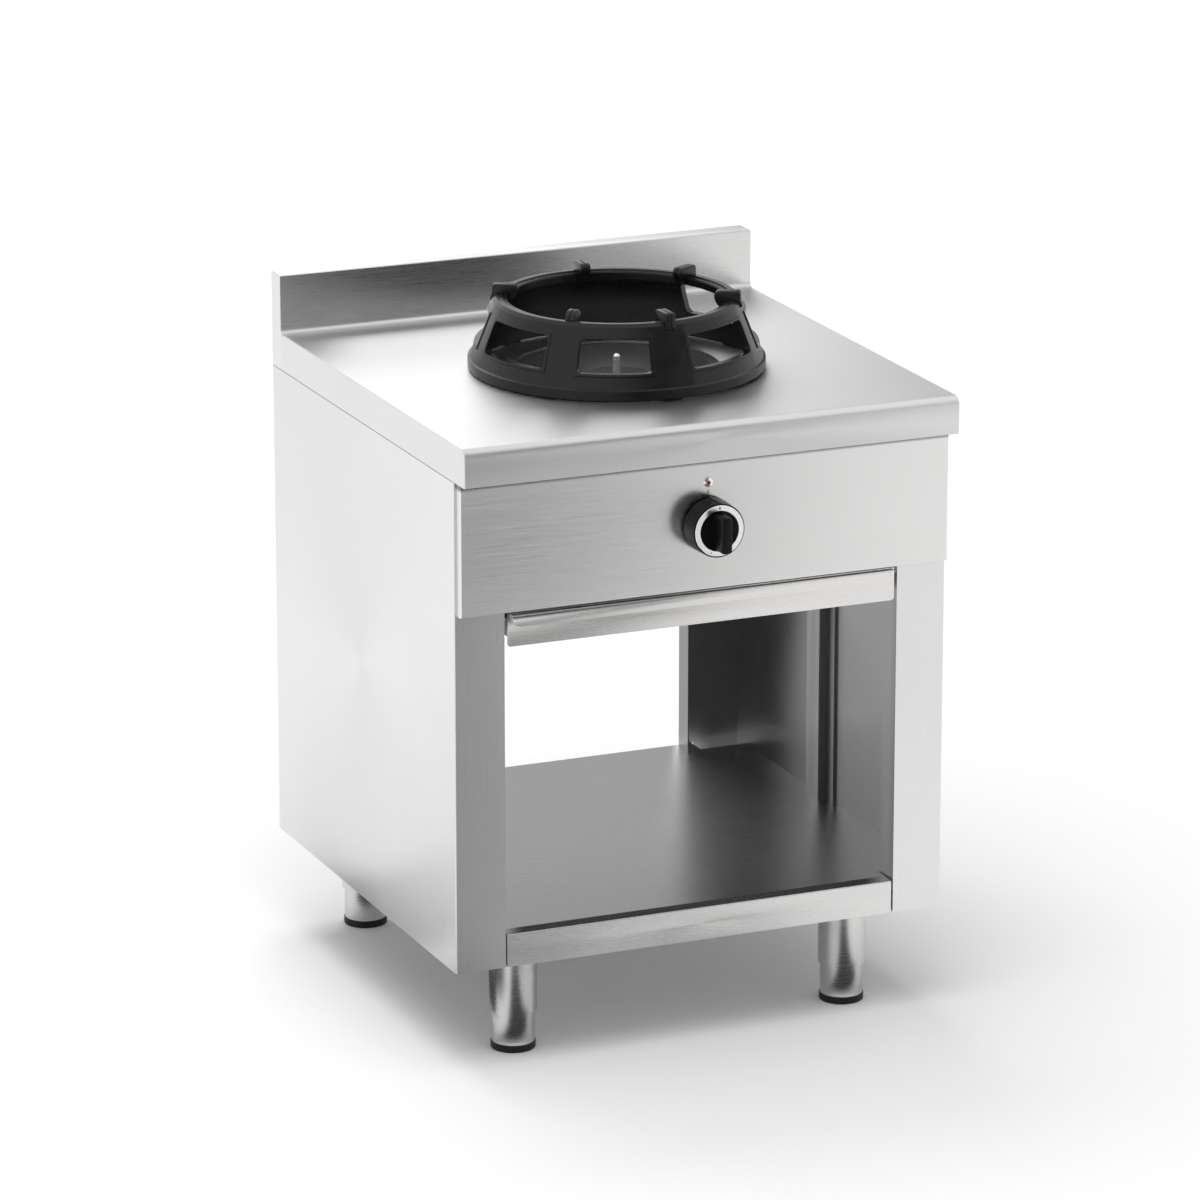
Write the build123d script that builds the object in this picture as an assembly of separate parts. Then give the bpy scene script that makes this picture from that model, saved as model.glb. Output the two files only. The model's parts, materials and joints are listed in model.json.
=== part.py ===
from build123d import *
import math
import os

# Free-standing gas wok range, modelled in millimetres.
# +Z is up and the front faces -Y. The origin lies on the floor, in the middle of the whole part,
# which reaches from the knob in front to the gas inlet behind.

# Overall sizes
width = 700.0
depth = 700.0
worktop_height = 856.0
splash_height = 81.0
splash_thickness = 34.0

# Sheet metal
top_sheet = 2.0
body_sheet = 1.5
thin_sheet = 1.2
edge_round = 2.0
apron_height = 50.0
front_round = 12.0
apron_flange = 20.0
cove_radius = 7.0

# Cabinet
post_setback = 38.0
post_face = 70.0
rear_post_extra = 22.0
front_return = 40.0
rear_return = 32.0
cabinet_clearance = 140.0
shelf_height = 45.0
shelf_gap = 2.5
panel_setback = 24.0
panel_height = 179.0
panel_inset = 3.5
panel_top_inset = 30.0
wall_flange = 22.0
beam_height = 36.0
beam_depth = 30.0
rear_panel_height = 216.0
vent_length = 70.0
vent_width = 7.0
vent_rows = 3
vent_columns = 5
vent_row_pitch = 24.0
vent_column_pitch = 85.0
vent_rise = 35.0
inlet_hole_gap = 0.5

# Wall channels and ribs
channel_width = 43.0
channel_depth = 15.5
channel_setback = 390.0
rib_width = 24.0
rib_depth = 4.0

# Drip tray and its runners
tray_gap = 5.0
tray_front_height = 45.0
tray_clearance = 4.0
tray_wall_height = 30.0
tray_side_gap = 8.0
tray_back_setback = 102.0
tray_lip = 12.0
tray_slide_gap = 0.3
tray_corner = 5.0
tray_lip_inset = 4.0
tray_lip_turn = 3.0
tray_lip_round = 9.0
runner_height = 24.0
runner_ledge = 8.5

# Legs
leg_side_setback = 110.0
leg_front_setback = 112.0
leg_back_setback = 45.0
leg_radius = 32.0
leg_wall = 1.5
leg_plate_radius = 40.0
leg_plate = 3.0
leg_reveal = 54.0
foot_radius = 29.0
foot_wall = 2.0
foot_screw_radius = 8.0
foot_screw_clearance = 0.05
insert_height = 14.0
foot_out = 15.0
foot_guide = 19.0
foot_in = 12.0
foot_spare = 1.0
pad_height = 10.0
pad_radius = 30.0
leg_rail_width = 76.0
leg_bolt_circle = 35.8
leg_bolt_head = 3.2
leg_bolt_height = 3.0
leg_bolt_count = 4

# Burner well and burner
well_setback = 325.0
well_radius = 140.0
well_step = 3.0
well_ledge = 12.0
bowl_gap = 1.0
bowl_drop = 31.0
bowl_hole_radius = 62.0
burner_radius = 58.0
burner_wall = 6.0
burner_floor = 6.0
burner_drop = 38.0
burner_height = 46.0
ear_reach = 26.0
ear_thickness = 6.0
head_radius = 56.0
head_wall = 10.0
head_height = 20.0
head_round = 3.0
port_height = 13.0
port_radius = 1.6
port_count = 24
cap_radius = 52.0
cap_height = 5.0
cap_boss_height = 6.0
cap_clearance = 0.4
pin_radius = 5.0
pin_height = 30.5
pin_groove = 0.7
pin_groove_drop = 6.5
pin_groove_height = 1.0
mixing_radius = 19.0
mixing_wall = 3.0
mixing_mouth_radius = 27.0
mixing_mouth_length = 22.0
mixing_length = 102.0
mixing_lip = 4.0
boss_radius = 24.0
boss_stub = 4.0
boss_flange = 6.0
shutter_radius = 29.0
shutter_thickness = 2.0
shutter_windows = 3
shutter_window_depth = 14.0
shutter_window_width = 18.0
shutter_window_offset = 16.0
shutter_hole_gap = 1.0
injector_radius = 5.0
injector_bore = 0.9
injector_length = 14.0
injector_hex = 13.0
injector_hex_length = 5.0
injector_entry = 2.0
holder_size = 22.0
holder_length = 20.0
rail_leg = 20.0
rail_thickness = 2.0

# Pilot and flame sensor
pilot_circle = 72.0
pilot_angles = (222.0, 202.0)
pilot_radius = 5.0
sensor_radius = 3.0
pilot_height = 48.0
sensor_height = 51.0
pilot_plate = 2.5
pilot_hole_gap = 2.5
pilot_drop = 16.0
pilot_wall = 3.0
pilot_slot_depth = 5.0
pilot_slot_width = 2.0
sensor_drop = 14.0
pilot_plate_drop = 14.0
pilot_plate_margin = 10.0
pilot_plate_span = 48.0
pilot_pipe_radius = 2.0
pilot_pipe_wall = 0.7
pilot_pipe_bend = 12.0
pilot_pipe_offset = 30.0
pilot_pipe_rise = 34.0

# Gas tap, pipes and knob
knob_rise = 88.5
tap_bracket_setback = 54.5
tap_radius = 20.0
tap_length = 44.0
tap_flange = 6.0
pilot_outlet = 33.0
tap_nose_radius = 10.0
tap_nut_length = 6.5
tap_nut_size = 27.0
tap_bracket_margin = 10.0
tap_bracket_flange = 10.0
clamp_width = 24.0
clamp_wall = 3.0
stem_radius = 5.0
stem_clearance = 0.05
stem_depth = 22.0
stem_end_gap = 1.0
push_travel = 4.0
washer_radius = 9.0
washer_thickness = 1.5
washer_setback = 32.0
spring_radius = 7.2
spring_wire = 0.8
spring_turns = 4.0
manifold_radius = 9.0
manifold_wall = 1.5
manifold_setback = 111.0
manifold_bend = 35.0
inlet_inset = 28.0
manifold_stub = 40.0
manifold_cap = 4.0
inlet_proud = 38.0
inlet_thread_radius = 10.5
inlet_shank_radius = 10.0
locknut_size = 32.0
locknut_thickness = 6.0
supply_radius = 6.0
supply_wall = 1.0
supply_bend = 15.0
knob_gap = 5.0
knob_skirt_radius = 37.0
knob_face_radius = 36.0
knob_skirt_depth = 31.0
knob_band = 9.0
knob_rear_chamfer = 1.5
knob_face_step = 0.5
knob_ring_outer = 35.0
knob_ring_inner = 27.5
knob_ring_depth = 3.0
knob_ring_proud = 1.5
knob_ring_chamfer = 0.6
knob_seat_gap = 0.2
grip_width = 14.0
grip_length = 48.0
grip_depth = 26.0
grip_drop = 1.0
grip_round = 3.5
grip_edge = 2.0
grip_root = 22.0
grip_web = 6.0
knob_bore_depth = 24.0
index_rise = 56.5
index_radius = 6.7
index_depth = 3.0
index_dome = 2.4
dot_radius = 2.9
dot_drop = 0.8
panel_hole_gap = 3.0

# Wok ring: heights from the worktop, angles seen from above and counted from +X
ring_pad_height = 1.5
ring_base_radius = 199.0
ring_base_height = 17.0
ring_crease = 3.0
ring_height = 97.0
ring_top_radius = 164.0
ring_top_inner = 145.0
ring_rim_height = 13.0
ring_wall = 9.0
window_angles = (152.0, 197.5, 246.0, 298.0, 344.0, 20.0)
window_spans = (32.0, 37.0, 31.0, 38.0, 32.0, 30.0)
window_low = 36.0
window_high = 79.0
window_corner = 7.0
window_border = 4.0
border_proud = 1.5
reveal_depth = 8.0
lug_angles = (29.0, 85.0, 150.0, 223.0, 272.0, 329.0)
lug_width = 14.0
lug_reach = 33.0
lug_rise = 12.0
lug_drop = 17.0
lug_tip = 7.5
lug_shoulder = 3.0
lug_hook = 12.0
lug_proud = 2.5
lug_rib = 3.0
lug_groove = 3.0
lug_groove_depth = 1.2
lug_round = 1.4
ring_pads = 7
ring_pad_width = 26.0
ring_pad_turn = 12.0
ring_edge = 2.0
ring_rim_chamfer = 4.0
ring_shoulder = 8.0

# Fasteners
screw_head_radius = 4.5
screw_head_height = 2.4
rear_screw_pitch = 300.0
rear_screw_rise = 120.0
vent_screw_inset = 12.0
vent_screw_rise = 18.0

# Planes worked out from the sizes above
half_width = width / 2
wall = half_width - body_sheet
knob_reach = knob_gap + knob_skirt_depth + grip_depth
knob_proud = knob_reach - panel_setback
front = knob_proud - (knob_proud + depth + inlet_proud) / 2
back = front + depth
post_front = front + post_setback
panel_front = front + panel_setback
splash_front = back - splash_thickness
apron_bottom = worktop_height - apron_height
splash_top = worktop_height + splash_height
panel_bottom = apron_bottom - panel_height
knob_height = panel_bottom + knob_rise
index_height = knob_height + index_rise
post_inner = half_width - post_face
rear_inner = post_inner - rear_post_extra
shelf_top = cabinet_clearance + shelf_height
well_y = front + well_setback
tray_top = panel_bottom - tray_gap
tray_bottom = tray_top - tray_front_height
rail_top = apron_bottom - beam_height
burner_top = worktop_height - burner_drop
burner_bottom = burner_top - burner_height
mixing_z = burner_bottom + burner_floor + mixing_radius - mixing_wall
tap_face = front + tap_bracket_setback + body_sheet
manifold_y = front + manifold_setback
manifold_x = rear_inner - inlet_inset
leg_x = half_width - leg_side_setback
leg_xs = (-leg_x, leg_x)
leg_ys = (front + leg_front_setback, back - leg_back_setback)
leg_top = cabinet_clearance + body_sheet
foot_overlap = foot_guide + foot_out


def plate(x0, x1, y0, y1, z0, z1):
    # a box from corner to corner
    return Pos((x0 + x1) / 2, (y0 + y1) / 2, (z0 + z1) / 2) * Box(x1 - x0, y1 - y0, z1 - z0)


def post(x, y, z0, z1, radius):
    # an upright cylinder
    return Pos(x, y, (z0 + z1) / 2) * Cylinder(radius, z1 - z0)


def rod(x, z, y0, y1, radius):
    # a cylinder along Y
    return Pos(x, (y0 + y1) / 2, z) * Rot(90, 0, 0) * Cylinder(radius, y1 - y0)


def hexagon(x, z, y0, y1, across):
    # a hexagonal bar along Y
    face = RegularPolygon(across / math.sqrt(3), 6)
    return Pos(x, y1, z) * Rot(90, 0, 0) * extrude(face, amount=y1 - y0)


def turned(points, x, y):
    # a profile of (radius, height) points turned about an upright axis
    face = make_face(Polyline(*[(r, 0, z) for r, z in points], close=True))
    return Pos(x, y, 0) * revolve(face, Axis.Z, 360)


def tube_along(path, radius, inner):
    # a round pipe swept along a path of runs and arcs
    start = Plane(origin=path @ 0, z_dir=path % 0)
    ring = start * (Circle(radius) - Circle(inner))
    return sweep(ring, path=path)


def mirrored(solid):
    return mirror(solid, Plane.YZ)


def make_worktop():
    lift = worktop_height - top_sheet
    outer = plate(-half_width, half_width, front, splash_front, apron_bottom, worktop_height)
    nose = outer.edges().filter_by(Axis.X).group_by(Axis.Z)[-1].sort_by(Axis.Y)[0]
    outer = fillet(nose, front_round)
    sides = [f for f in outer.faces().filter_by(Axis.X)]
    rims = []
    for side in sides:
        for edge in side.edges():
            middle = edge.center()
            if middle.Z > apron_bottom + 1 and middle.Y < splash_front - 1:
                rims.append(edge)
    outer = fillet(rims, edge_round)
    inner = plate(-half_width + top_sheet, half_width - top_sheet, front + top_sheet,
                  splash_front + 1, apron_bottom - 1, lift)
    nose = inner.edges().filter_by(Axis.X).group_by(Axis.Z)[-1].sort_by(Axis.Y)[0]
    inner = fillet(nose, front_round - top_sheet)
    top = outer - inner
    flange_z = apron_bottom + top_sheet
    top += plate(-half_width + top_sheet, half_width - top_sheet, front + top_sheet,
                 front + apron_flange, apron_bottom, flange_z)
    for side in (-1, 1):
        edge = side * (half_width - top_sheet)
        lip = side * (half_width - wall_flange)
        top += plate(min(edge, lip), max(edge, lip), front + top_sheet, splash_front,
                     apron_bottom, flange_z)
    cove = plate(-half_width, half_width, splash_front - cove_radius, splash_front,
                 worktop_height - top_sheet / 2, worktop_height + cove_radius)
    scoop = Pos(0, splash_front - cove_radius, worktop_height + cove_radius) * Rot(0, 90, 0)
    cove -= scoop * Cylinder(cove_radius, width + 2)
    top += cove
    # pressed step that carries the burner bowl
    ledge_z = worktop_height - well_step
    top -= post(0, well_y, lift - 1, worktop_height + 1, well_radius)
    step = post(0, well_y, ledge_z - top_sheet, worktop_height - edge_round / 4,
                well_radius + top_sheet)
    step -= post(0, well_y, ledge_z, worktop_height, well_radius)
    step -= post(0, well_y, ledge_z - top_sheet - 1, worktop_height, well_radius - well_ledge)
    return top + step


def make_splashback():
    outer = plate(-half_width, half_width, splash_front, back, apron_bottom, splash_top)
    rims = outer.edges().group_by(Axis.Z)[-1]
    outer = fillet(rims, edge_round)
    inner = plate(-wall, wall, splash_front + body_sheet, back - body_sheet,
                  apron_bottom - 1, splash_top - body_sheet)
    return outer - inner


def make_side_panel():
    # the right-hand panel: wall, front post with its return, and the rear post, which is wider
    # above the shelf and has its return there
    outer = plate(post_inner, half_width, post_front, back, cabinet_clearance, apron_bottom)
    corners = [e for e in outer.edges().filter_by(Axis.Z) if e.center().X > half_width - 1]
    outer = fillet(corners, edge_round)
    inner = plate(post_inner - 1, wall, post_front + body_sheet, back - body_sheet,
                  cabinet_clearance - 1, apron_bottom + 1)
    panel = outer - inner
    panel += plate(post_inner, post_inner + body_sheet, post_front, post_front + front_return,
                   cabinet_clearance, apron_bottom)
    panel += plate(rear_inner, post_inner + body_sheet, back - body_sheet, back,
                   shelf_top, apron_bottom)
    panel += plate(rear_inner, rear_inner + body_sheet, back - rear_return, back,
                   shelf_top, apron_bottom)
    ledge_x = half_width - wall_flange
    panel += plate(ledge_x, wall, post_front + body_sheet, back - body_sheet,
                   apron_bottom - body_sheet, apron_bottom)
    panel += plate(ledge_x, wall, post_front + body_sheet, back - body_sheet,
                   cabinet_clearance, cabinet_clearance + body_sheet)
    return panel


def make_upright():
    # channel that stiffens the right-hand wall
    y0 = front + channel_setback
    y1 = y0 + channel_width
    top = apron_bottom - body_sheet
    channel = plate(wall - channel_depth, wall, y0, y1, shelf_top, top)
    corners = [e for e in channel.edges().filter_by(Axis.Z) if e.center().X < wall - 1]
    channel = fillet(corners, edge_round)
    hollow = plate(wall - channel_depth + thin_sheet, wall + 1, y0 + thin_sheet, y1 - thin_sheet,
                   shelf_top - 1, top + 1)
    return channel - hollow


def make_wall_rib():
    # narrow folded strip in front of the channel
    y1 = front + channel_setback
    rib = plate(wall - rib_depth, wall, y1 - rib_width, y1, shelf_top, apron_bottom - body_sheet)
    corners = [e for e in rib.edges().filter_by(Axis.Z) if e.center().X < wall - 1]
    return fillet(corners, rib_depth / 3)


def make_bottom_shelf():
    face = post_inner - shelf_gap
    floor_z = shelf_top - body_sheet
    front_edge = plate(-face, face, post_front, back, cabinet_clearance, shelf_top)
    rims = front_edge.edges().filter_by(Axis.X).group_by(Axis.Z)[-1]
    front_edge = fillet(rims, edge_round)
    hollow = plate(-face - 1, face + 1, post_front + body_sheet, back - body_sheet,
                   cabinet_clearance - 1, floor_z)
    shelf = front_edge - hollow
    inner_front = post_front + front_return + 1
    inner_back = back - rear_return - 1
    shelf += plate(-wall, wall, inner_front, inner_back, floor_z, shelf_top)
    shelf += plate(-face, face, post_front + body_sheet, post_front + wall_flange,
                   cabinet_clearance, cabinet_clearance + body_sheet)
    skirt_z = shelf_top - wall_flange
    for side in (-1, 1):
        inner_x = side * (wall - body_sheet)
        outer_x = side * wall
        shelf += plate(min(inner_x, outer_x), max(inner_x, outer_x), inner_front, inner_back,
                       skirt_z, shelf_top - body_sheet / 2)
    return shelf


def make_leg_rail():
    # right-hand channel under the shelf that the legs bolt to
    x = leg_xs[1]
    y0 = post_front + body_sheet
    y1 = back - body_sheet
    rail = plate(x - leg_rail_width / 2, x + leg_rail_width / 2, y0, y1,
                 cabinet_clearance + body_sheet, shelf_top - body_sheet)
    hollow = plate(x - leg_rail_width / 2 + body_sheet, x + leg_rail_width / 2 - body_sheet,
                   y0 - 1, y1 + 1, cabinet_clearance + 2 * body_sheet, shelf_top)
    return rail - hollow


def make_crossmember(reach, y0, y1, web_first):
    beam = plate(-reach, reach, y0, y1, rail_top, apron_bottom)
    if web_first:
        hollow = plate(-reach - 1, reach + 1, y0 + body_sheet, y1 + 1,
                       rail_top + body_sheet, apron_bottom - body_sheet)
    else:
        hollow = plate(-reach - 1, reach + 1, y0 - 1, y1 - body_sheet,
                       rail_top + body_sheet, apron_bottom - body_sheet)
    return beam - hollow


def make_rear_panel():
    z0 = apron_bottom - rear_panel_height
    panel = plate(-rear_inner, rear_inner, back - body_sheet, back, z0, apron_bottom)
    for side in (-1, 1):
        outer_x = side * rear_inner
        inner_x = side * (rear_inner - body_sheet)
        panel += plate(min(outer_x, inner_x), max(outer_x, inner_x), back - rear_return / 2,
                       back - body_sheet / 2, z0, rail_top)
    outline = SlotOverall(vent_length, vent_width)
    slot = Rot(90, 0, 0) * extrude(outline, amount=4 * body_sheet, both=True)
    for row in range(vent_rows):
        for column in range(vent_columns):
            x = vent_column_pitch * (column - (vent_columns - 1) / 2)
            panel -= Pos(x, back, z0 + vent_rise + vent_row_pitch * row) * slot
    hole = inlet_thread_radius + inlet_hole_gap
    return panel - rod(manifold_x, knob_height, back - rear_return, back + 1, hole)


def make_control_panel():
    edge = half_width - panel_inset
    box = plate(-edge, edge, panel_front, post_front, panel_bottom, apron_bottom + body_sheet)
    face_edges = [e for e in box.edges() if abs(e.center().Y - panel_front) < 0.01]
    face_edges = [e for e in face_edges if e.center().Z < apron_bottom]
    box = fillet(face_edges, edge_round)
    hollow = plate(-edge + body_sheet, edge - body_sheet, panel_front + body_sheet,
                   post_front + 1, panel_bottom + body_sheet, apron_bottom + 2 * body_sheet)
    panel = box - hollow
    top_edge = half_width - panel_top_inset
    panel += plate(-top_edge, top_edge, panel_front + body_sheet / 2, post_front + beam_depth,
                   apron_bottom, apron_bottom + body_sheet)
    panel -= plate(-half_width, -top_edge, panel_front - 1, post_front + 1,
                   apron_bottom, apron_bottom + 2 * body_sheet)
    panel -= plate(top_edge, half_width, panel_front - 1, post_front + 1,
                   apron_bottom, apron_bottom + 2 * body_sheet)
    panel -= rod(0, knob_height, panel_front - 1, post_front, stem_radius + panel_hole_gap)
    return panel


def make_drip_tray():
    edge = post_inner - tray_clearance
    side = edge - tray_side_gap
    pan_top = tray_top - tray_gap
    pan_bottom = pan_top - tray_wall_height
    tray = plate(-edge, edge, post_front, post_front + body_sheet, tray_bottom, tray_top)
    corners = [e for e in tray.edges().filter_by(Axis.Y) if e.center().Z < tray_bottom + 1]
    tray = fillet(corners, tray_corner)
    y1 = back - tray_back_setback
    pan = plate(-side, side, post_front + body_sheet / 2, y1, pan_bottom, pan_top)
    pan -= plate(-side + thin_sheet, side - thin_sheet, post_front + body_sheet,
                 y1 - thin_sheet, pan_bottom + thin_sheet, pan_top + 1)
    tray += pan
    for sign in (-1, 1):
        inner_x = sign * (side - thin_sheet / 2)
        outer_x = sign * edge
        tray += plate(min(inner_x, outer_x), max(inner_x, outer_x), post_front + body_sheet / 2,
                      y1, pan_top - thin_sheet, pan_top)
    # folded lip that serves as the pull
    tip_y = post_front - tray_lip
    tip_z = tray_top - tray_lip
    outline = Polyline((0, post_front + body_sheet, tray_top), (0, post_front, tray_top),
                       (0, tip_y, tip_z), (0, tip_y, tip_z - tray_lip_turn),
                       (0, tip_y + body_sheet, tip_z - tray_lip_turn),
                       (0, tip_y + body_sheet, tip_z - body_sheet / 2),
                       (0, post_front + body_sheet, tray_top - 2 * body_sheet), close=True)
    lip_end = edge - tray_lip_inset
    lip = extrude(make_face(outline), amount=lip_end, both=True)
    plan = RectangleRounded(2 * lip_end, 2 * tray_lip, tray_lip_round)
    lip &= Pos(0, post_front, tray_bottom) * extrude(plan, amount=2 * tray_front_height)
    return tray + lip


def make_runner():
    # right-hand runner, from the front post's return to the rear post
    ledge_top = tray_top - tray_gap - thin_sheet - tray_slide_gap
    y0 = post_front + 2 * body_sheet
    y1 = back - body_sheet
    runner = plate(post_inner - body_sheet, post_inner, y0, y1,
                   ledge_top - body_sheet, ledge_top + runner_height - body_sheet)
    runner += plate(post_inner - runner_ledge, post_inner - body_sheet / 2, y0, y1,
                    ledge_top - body_sheet, ledge_top)
    return runner


def make_leg_tube(x, y):
    tube = post(x, y, leg_reveal, leg_top, leg_radius)
    tube -= post(x, y, leg_reveal - 1, leg_top - leg_plate, leg_radius - leg_wall)
    return tube + post(x, y, leg_top - leg_plate, leg_top, leg_plate_radius)


def make_leg_insert(x, y):
    z0 = leg_reveal + foot_overlap + foot_in + foot_spare
    z1 = z0 + insert_height
    insert = post(x, y, z0, z1, leg_radius - leg_wall)
    return insert - post(x, y, z0 - 1, z1 + 1, foot_screw_radius + foot_screw_clearance)


def make_foot(x, y):
    # telescopic sleeve with its screw
    cap_top = leg_reveal + foot_overlap
    screw_top = leg_top - leg_plate - foot_in - foot_spare
    sleeve = post(x, y, pad_height, cap_top, foot_radius)
    sleeve -= post(x, y, pad_height + 2 * foot_wall, cap_top - 2 * foot_wall, foot_radius - foot_wall)
    return sleeve + post(x, y, cap_top - foot_wall, screw_top, foot_screw_radius)


def make_pad(x, y):
    pad = post(x, y, 0, pad_height, pad_radius)
    return fillet(pad.edges().group_by(Axis.Z)[0], pad_height / 5)


def make_burner_bowl():
    ledge_z = worktop_height - well_step
    flange = well_radius - bowl_gap
    shoulder = well_radius - well_ledge - bowl_gap
    sheet = body_sheet
    low = ledge_z - bowl_drop
    points = [(flange, ledge_z), (flange, ledge_z + sheet), (shoulder, ledge_z + sheet),
              (bowl_hole_radius, low + sheet), (bowl_hole_radius, low), (shoulder, ledge_z)]
    bowl = turned(points, 0, well_y)
    for index, radius in enumerate((pilot_radius, sensor_radius)):
        px, py = pilot_place(index)
        bowl -= post(px, py, low - 1, worktop_height, radius + pilot_hole_gap)
    return bowl


def make_burner_body():
    inner = burner_radius - burner_wall
    boss_front = well_y - burner_radius - boss_stub
    cup = post(0, well_y, burner_bottom, burner_top, burner_radius)
    cup += rod(0, mixing_z, boss_front, well_y - inner, boss_radius)
    cup += plate(-burner_radius - ear_reach, burner_radius + ear_reach, well_y - rail_leg / 2,
                 well_y + rail_leg / 2, rail_top, rail_top + ear_thickness)
    cup -= post(0, well_y, burner_bottom + burner_floor, burner_top + 1, inner)
    cup -= rod(0, mixing_z, boss_front - 1, well_y, mixing_radius - mixing_wall)
    return cup


def make_mixing_tube():
    y1 = well_y - burner_radius - boss_stub
    y0 = y1 - mixing_length
    bore = mixing_radius - mixing_wall
    mouth = mixing_mouth_radius
    flare = y0 + mixing_mouth_length
    seat = y1 - boss_flange
    points = [(bore, y1), (boss_radius, y1), (boss_radius, seat), (mixing_radius, seat),
              (mixing_radius, flare), (mouth, y0 + mixing_lip), (mouth, y0),
              (mouth - mixing_wall, y0), (bore, flare)]
    face = make_face(Polyline(*[(r, y, 0) for r, y in points], close=True))
    return Pos(0, 0, mixing_z) * revolve(face, Axis.Y, 360)


def make_air_shutter():
    y1 = well_y - burner_radius - boss_stub - mixing_length
    disc = rod(0, mixing_z, y1 - shutter_thickness, y1, shutter_radius)
    disc -= rod(0, mixing_z, y1 - shutter_thickness - 1, y1 + 1, injector_radius + shutter_hole_gap)
    for index in range(shutter_windows):
        angle = 360 / shutter_windows * index + 90
        window = Pos(0, y1 - shutter_thickness / 2, mixing_z) * Rot(0, angle, 0)
        disc -= window * Pos(shutter_window_offset, 0, 0) * Box(
            shutter_window_depth, 4 * shutter_thickness, shutter_window_width)
    return disc


def injector_plane():
    # back face of the holder, where the injector screws in
    shutter_front = well_y - burner_radius - boss_stub - mixing_length - shutter_thickness
    return shutter_front - injector_length + injector_entry


def make_injector_holder():
    y1 = injector_plane()
    half = holder_size / 2
    holder = plate(-half, half, y1 - holder_length, y1, mixing_z - half, mixing_z + half)
    bore = supply_radius - supply_wall
    holder -= rod(0, mixing_z, y1 - holder_length / 2, y1 + 1, bore)
    return holder - post(0, y1 - holder_length / 2, mixing_z - half - 1, mixing_z, bore)


def make_injector():
    y0 = injector_plane()
    y1 = y0 + injector_length
    body = rod(0, mixing_z, y0, y1, injector_radius)
    body += hexagon(0, mixing_z, y0, y0 + injector_hex_length, injector_hex)
    return body - rod(0, mixing_z, y0 - 1, y1 + 1, injector_bore)


def make_supply_pipe():
    # from the top of the tap up to the underside of the injector holder
    x = 0
    tap_top = knob_height + tap_radius
    y_tap = tap_face + tap_length / 2
    y_end = injector_plane() - holder_length / 2
    z_end = mixing_z - holder_size / 2
    middle = (tap_top + z_end) / 2
    bend = min(supply_bend, (z_end - tap_top) / 2 - 1, (y_end - y_tap) / 2 - 1)
    path = FilletPolyline((x, y_tap, tap_top), (x, y_tap, middle), (x, y_end, middle),
                          (x, y_end, z_end), radius=bend)
    return tube_along(path, supply_radius, supply_radius - supply_wall)


def make_burner_head():
    inner = head_radius - head_wall
    z0 = burner_top
    head = post(0, well_y, z0, z0 + head_height, head_radius)
    head = fillet(head.edges().group_by(Axis.Z)[-1], head_round)
    head -= post(0, well_y, z0 - 1, z0 + head_height + 1, inner)
    for index in range(port_count):
        turn = Pos(0, well_y, z0 + port_height) * Rot(0, 0, 360 / port_count * index)
        head -= turn * Pos(head_radius - head_wall / 2, 0, 0) * Rot(0, 90, 0) * \
            Cylinder(port_radius, head_wall * 1.6)
    return head


def make_burner_cap():
    z0 = burner_top + head_height
    cap = post(0, well_y, z0, z0 + cap_height, cap_radius)
    cap = fillet(cap.edges().group_by(Axis.Z)[-1], cap_height / 2)
    boss = head_radius - head_wall - cap_clearance
    cap += post(0, well_y, z0 - cap_boss_height, z0, boss)
    return cap - post(0, well_y, z0 - cap_boss_height - 1, z0, boss - burner_wall)


def make_burner_pin():
    z0 = burner_top + head_height + cap_height
    z1 = z0 + pin_height
    neck = z1 - pin_groove_drop
    low = neck - pin_groove_height
    pin = post(0, well_y, z0, z1, pin_radius)
    pin = fillet(pin.edges().group_by(Axis.Z)[-1], pin_radius * 0.96)
    groove = post(0, well_y, low, neck, pin_radius + 1)
    groove -= post(0, well_y, low - 1, neck + 1, pin_radius - pin_groove)
    return pin - groove


def make_burner_rail():
    # right-hand angle under the burner's ear, between the crossmembers
    x0 = burner_radius + ear_reach - rail_leg
    y0 = post_front + 2 * body_sheet
    y1 = back - body_sheet - 1
    rail = plate(x0, x0 + rail_leg, y0, y1, rail_top - rail_thickness, rail_top)
    return rail + plate(x0 + rail_leg - rail_thickness, x0 + rail_leg, y0, y1,
                        rail_top - rail_leg, rail_top)


def pilot_place(index):
    angle = math.radians(pilot_angles[index])
    return pilot_circle * math.cos(angle), well_y + pilot_circle * math.sin(angle)


def make_pilot_bracket():
    # curved plate fixed to the burner body under the bowl
    z1 = burner_top - pilot_plate_drop
    plate_ring = post(0, well_y, z1 - pilot_plate, z1, pilot_circle + pilot_plate_margin)
    plate_ring -= post(0, well_y, z1 - pilot_plate - 1, z1 + 1, burner_radius)
    middle = sum(pilot_angles) / 2
    reach = 2 * pilot_circle
    corners = [(0, 0)]
    for turn in (-0.5, 0.5):
        angle = math.radians(middle + turn * pilot_plate_span)
        corners.append((reach * math.cos(angle), reach * math.sin(angle)))
    wedge = make_face(Polyline(*corners, close=True))
    sector = Pos(0, well_y, z1 - pilot_plate - 1) * extrude(wedge, amount=pilot_plate + 2)
    bracket = plate_ring & sector
    for index, radius in enumerate((pilot_radius, sensor_radius)):
        px, py = pilot_place(index)
        bracket -= post(px, py, z1 - pilot_plate - 1, z1 + 1, radius)
    return bracket


def make_pilot_burner():
    px, py = pilot_place(0)
    z1 = worktop_height - pilot_drop
    pilot = post(px, py, z1 - pilot_height, z1, pilot_radius)
    pilot -= post(px, py, z1 - pilot_height - 1, z1 - pilot_slot_depth - pilot_wall,
                  pilot_radius - pilot_wall)
    half = pilot_slot_width / 2
    return pilot - plate(px - half, px + half, py - 2 * pilot_radius, py + 2 * pilot_radius,
                         z1 - pilot_slot_depth, z1 + 1)


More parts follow.
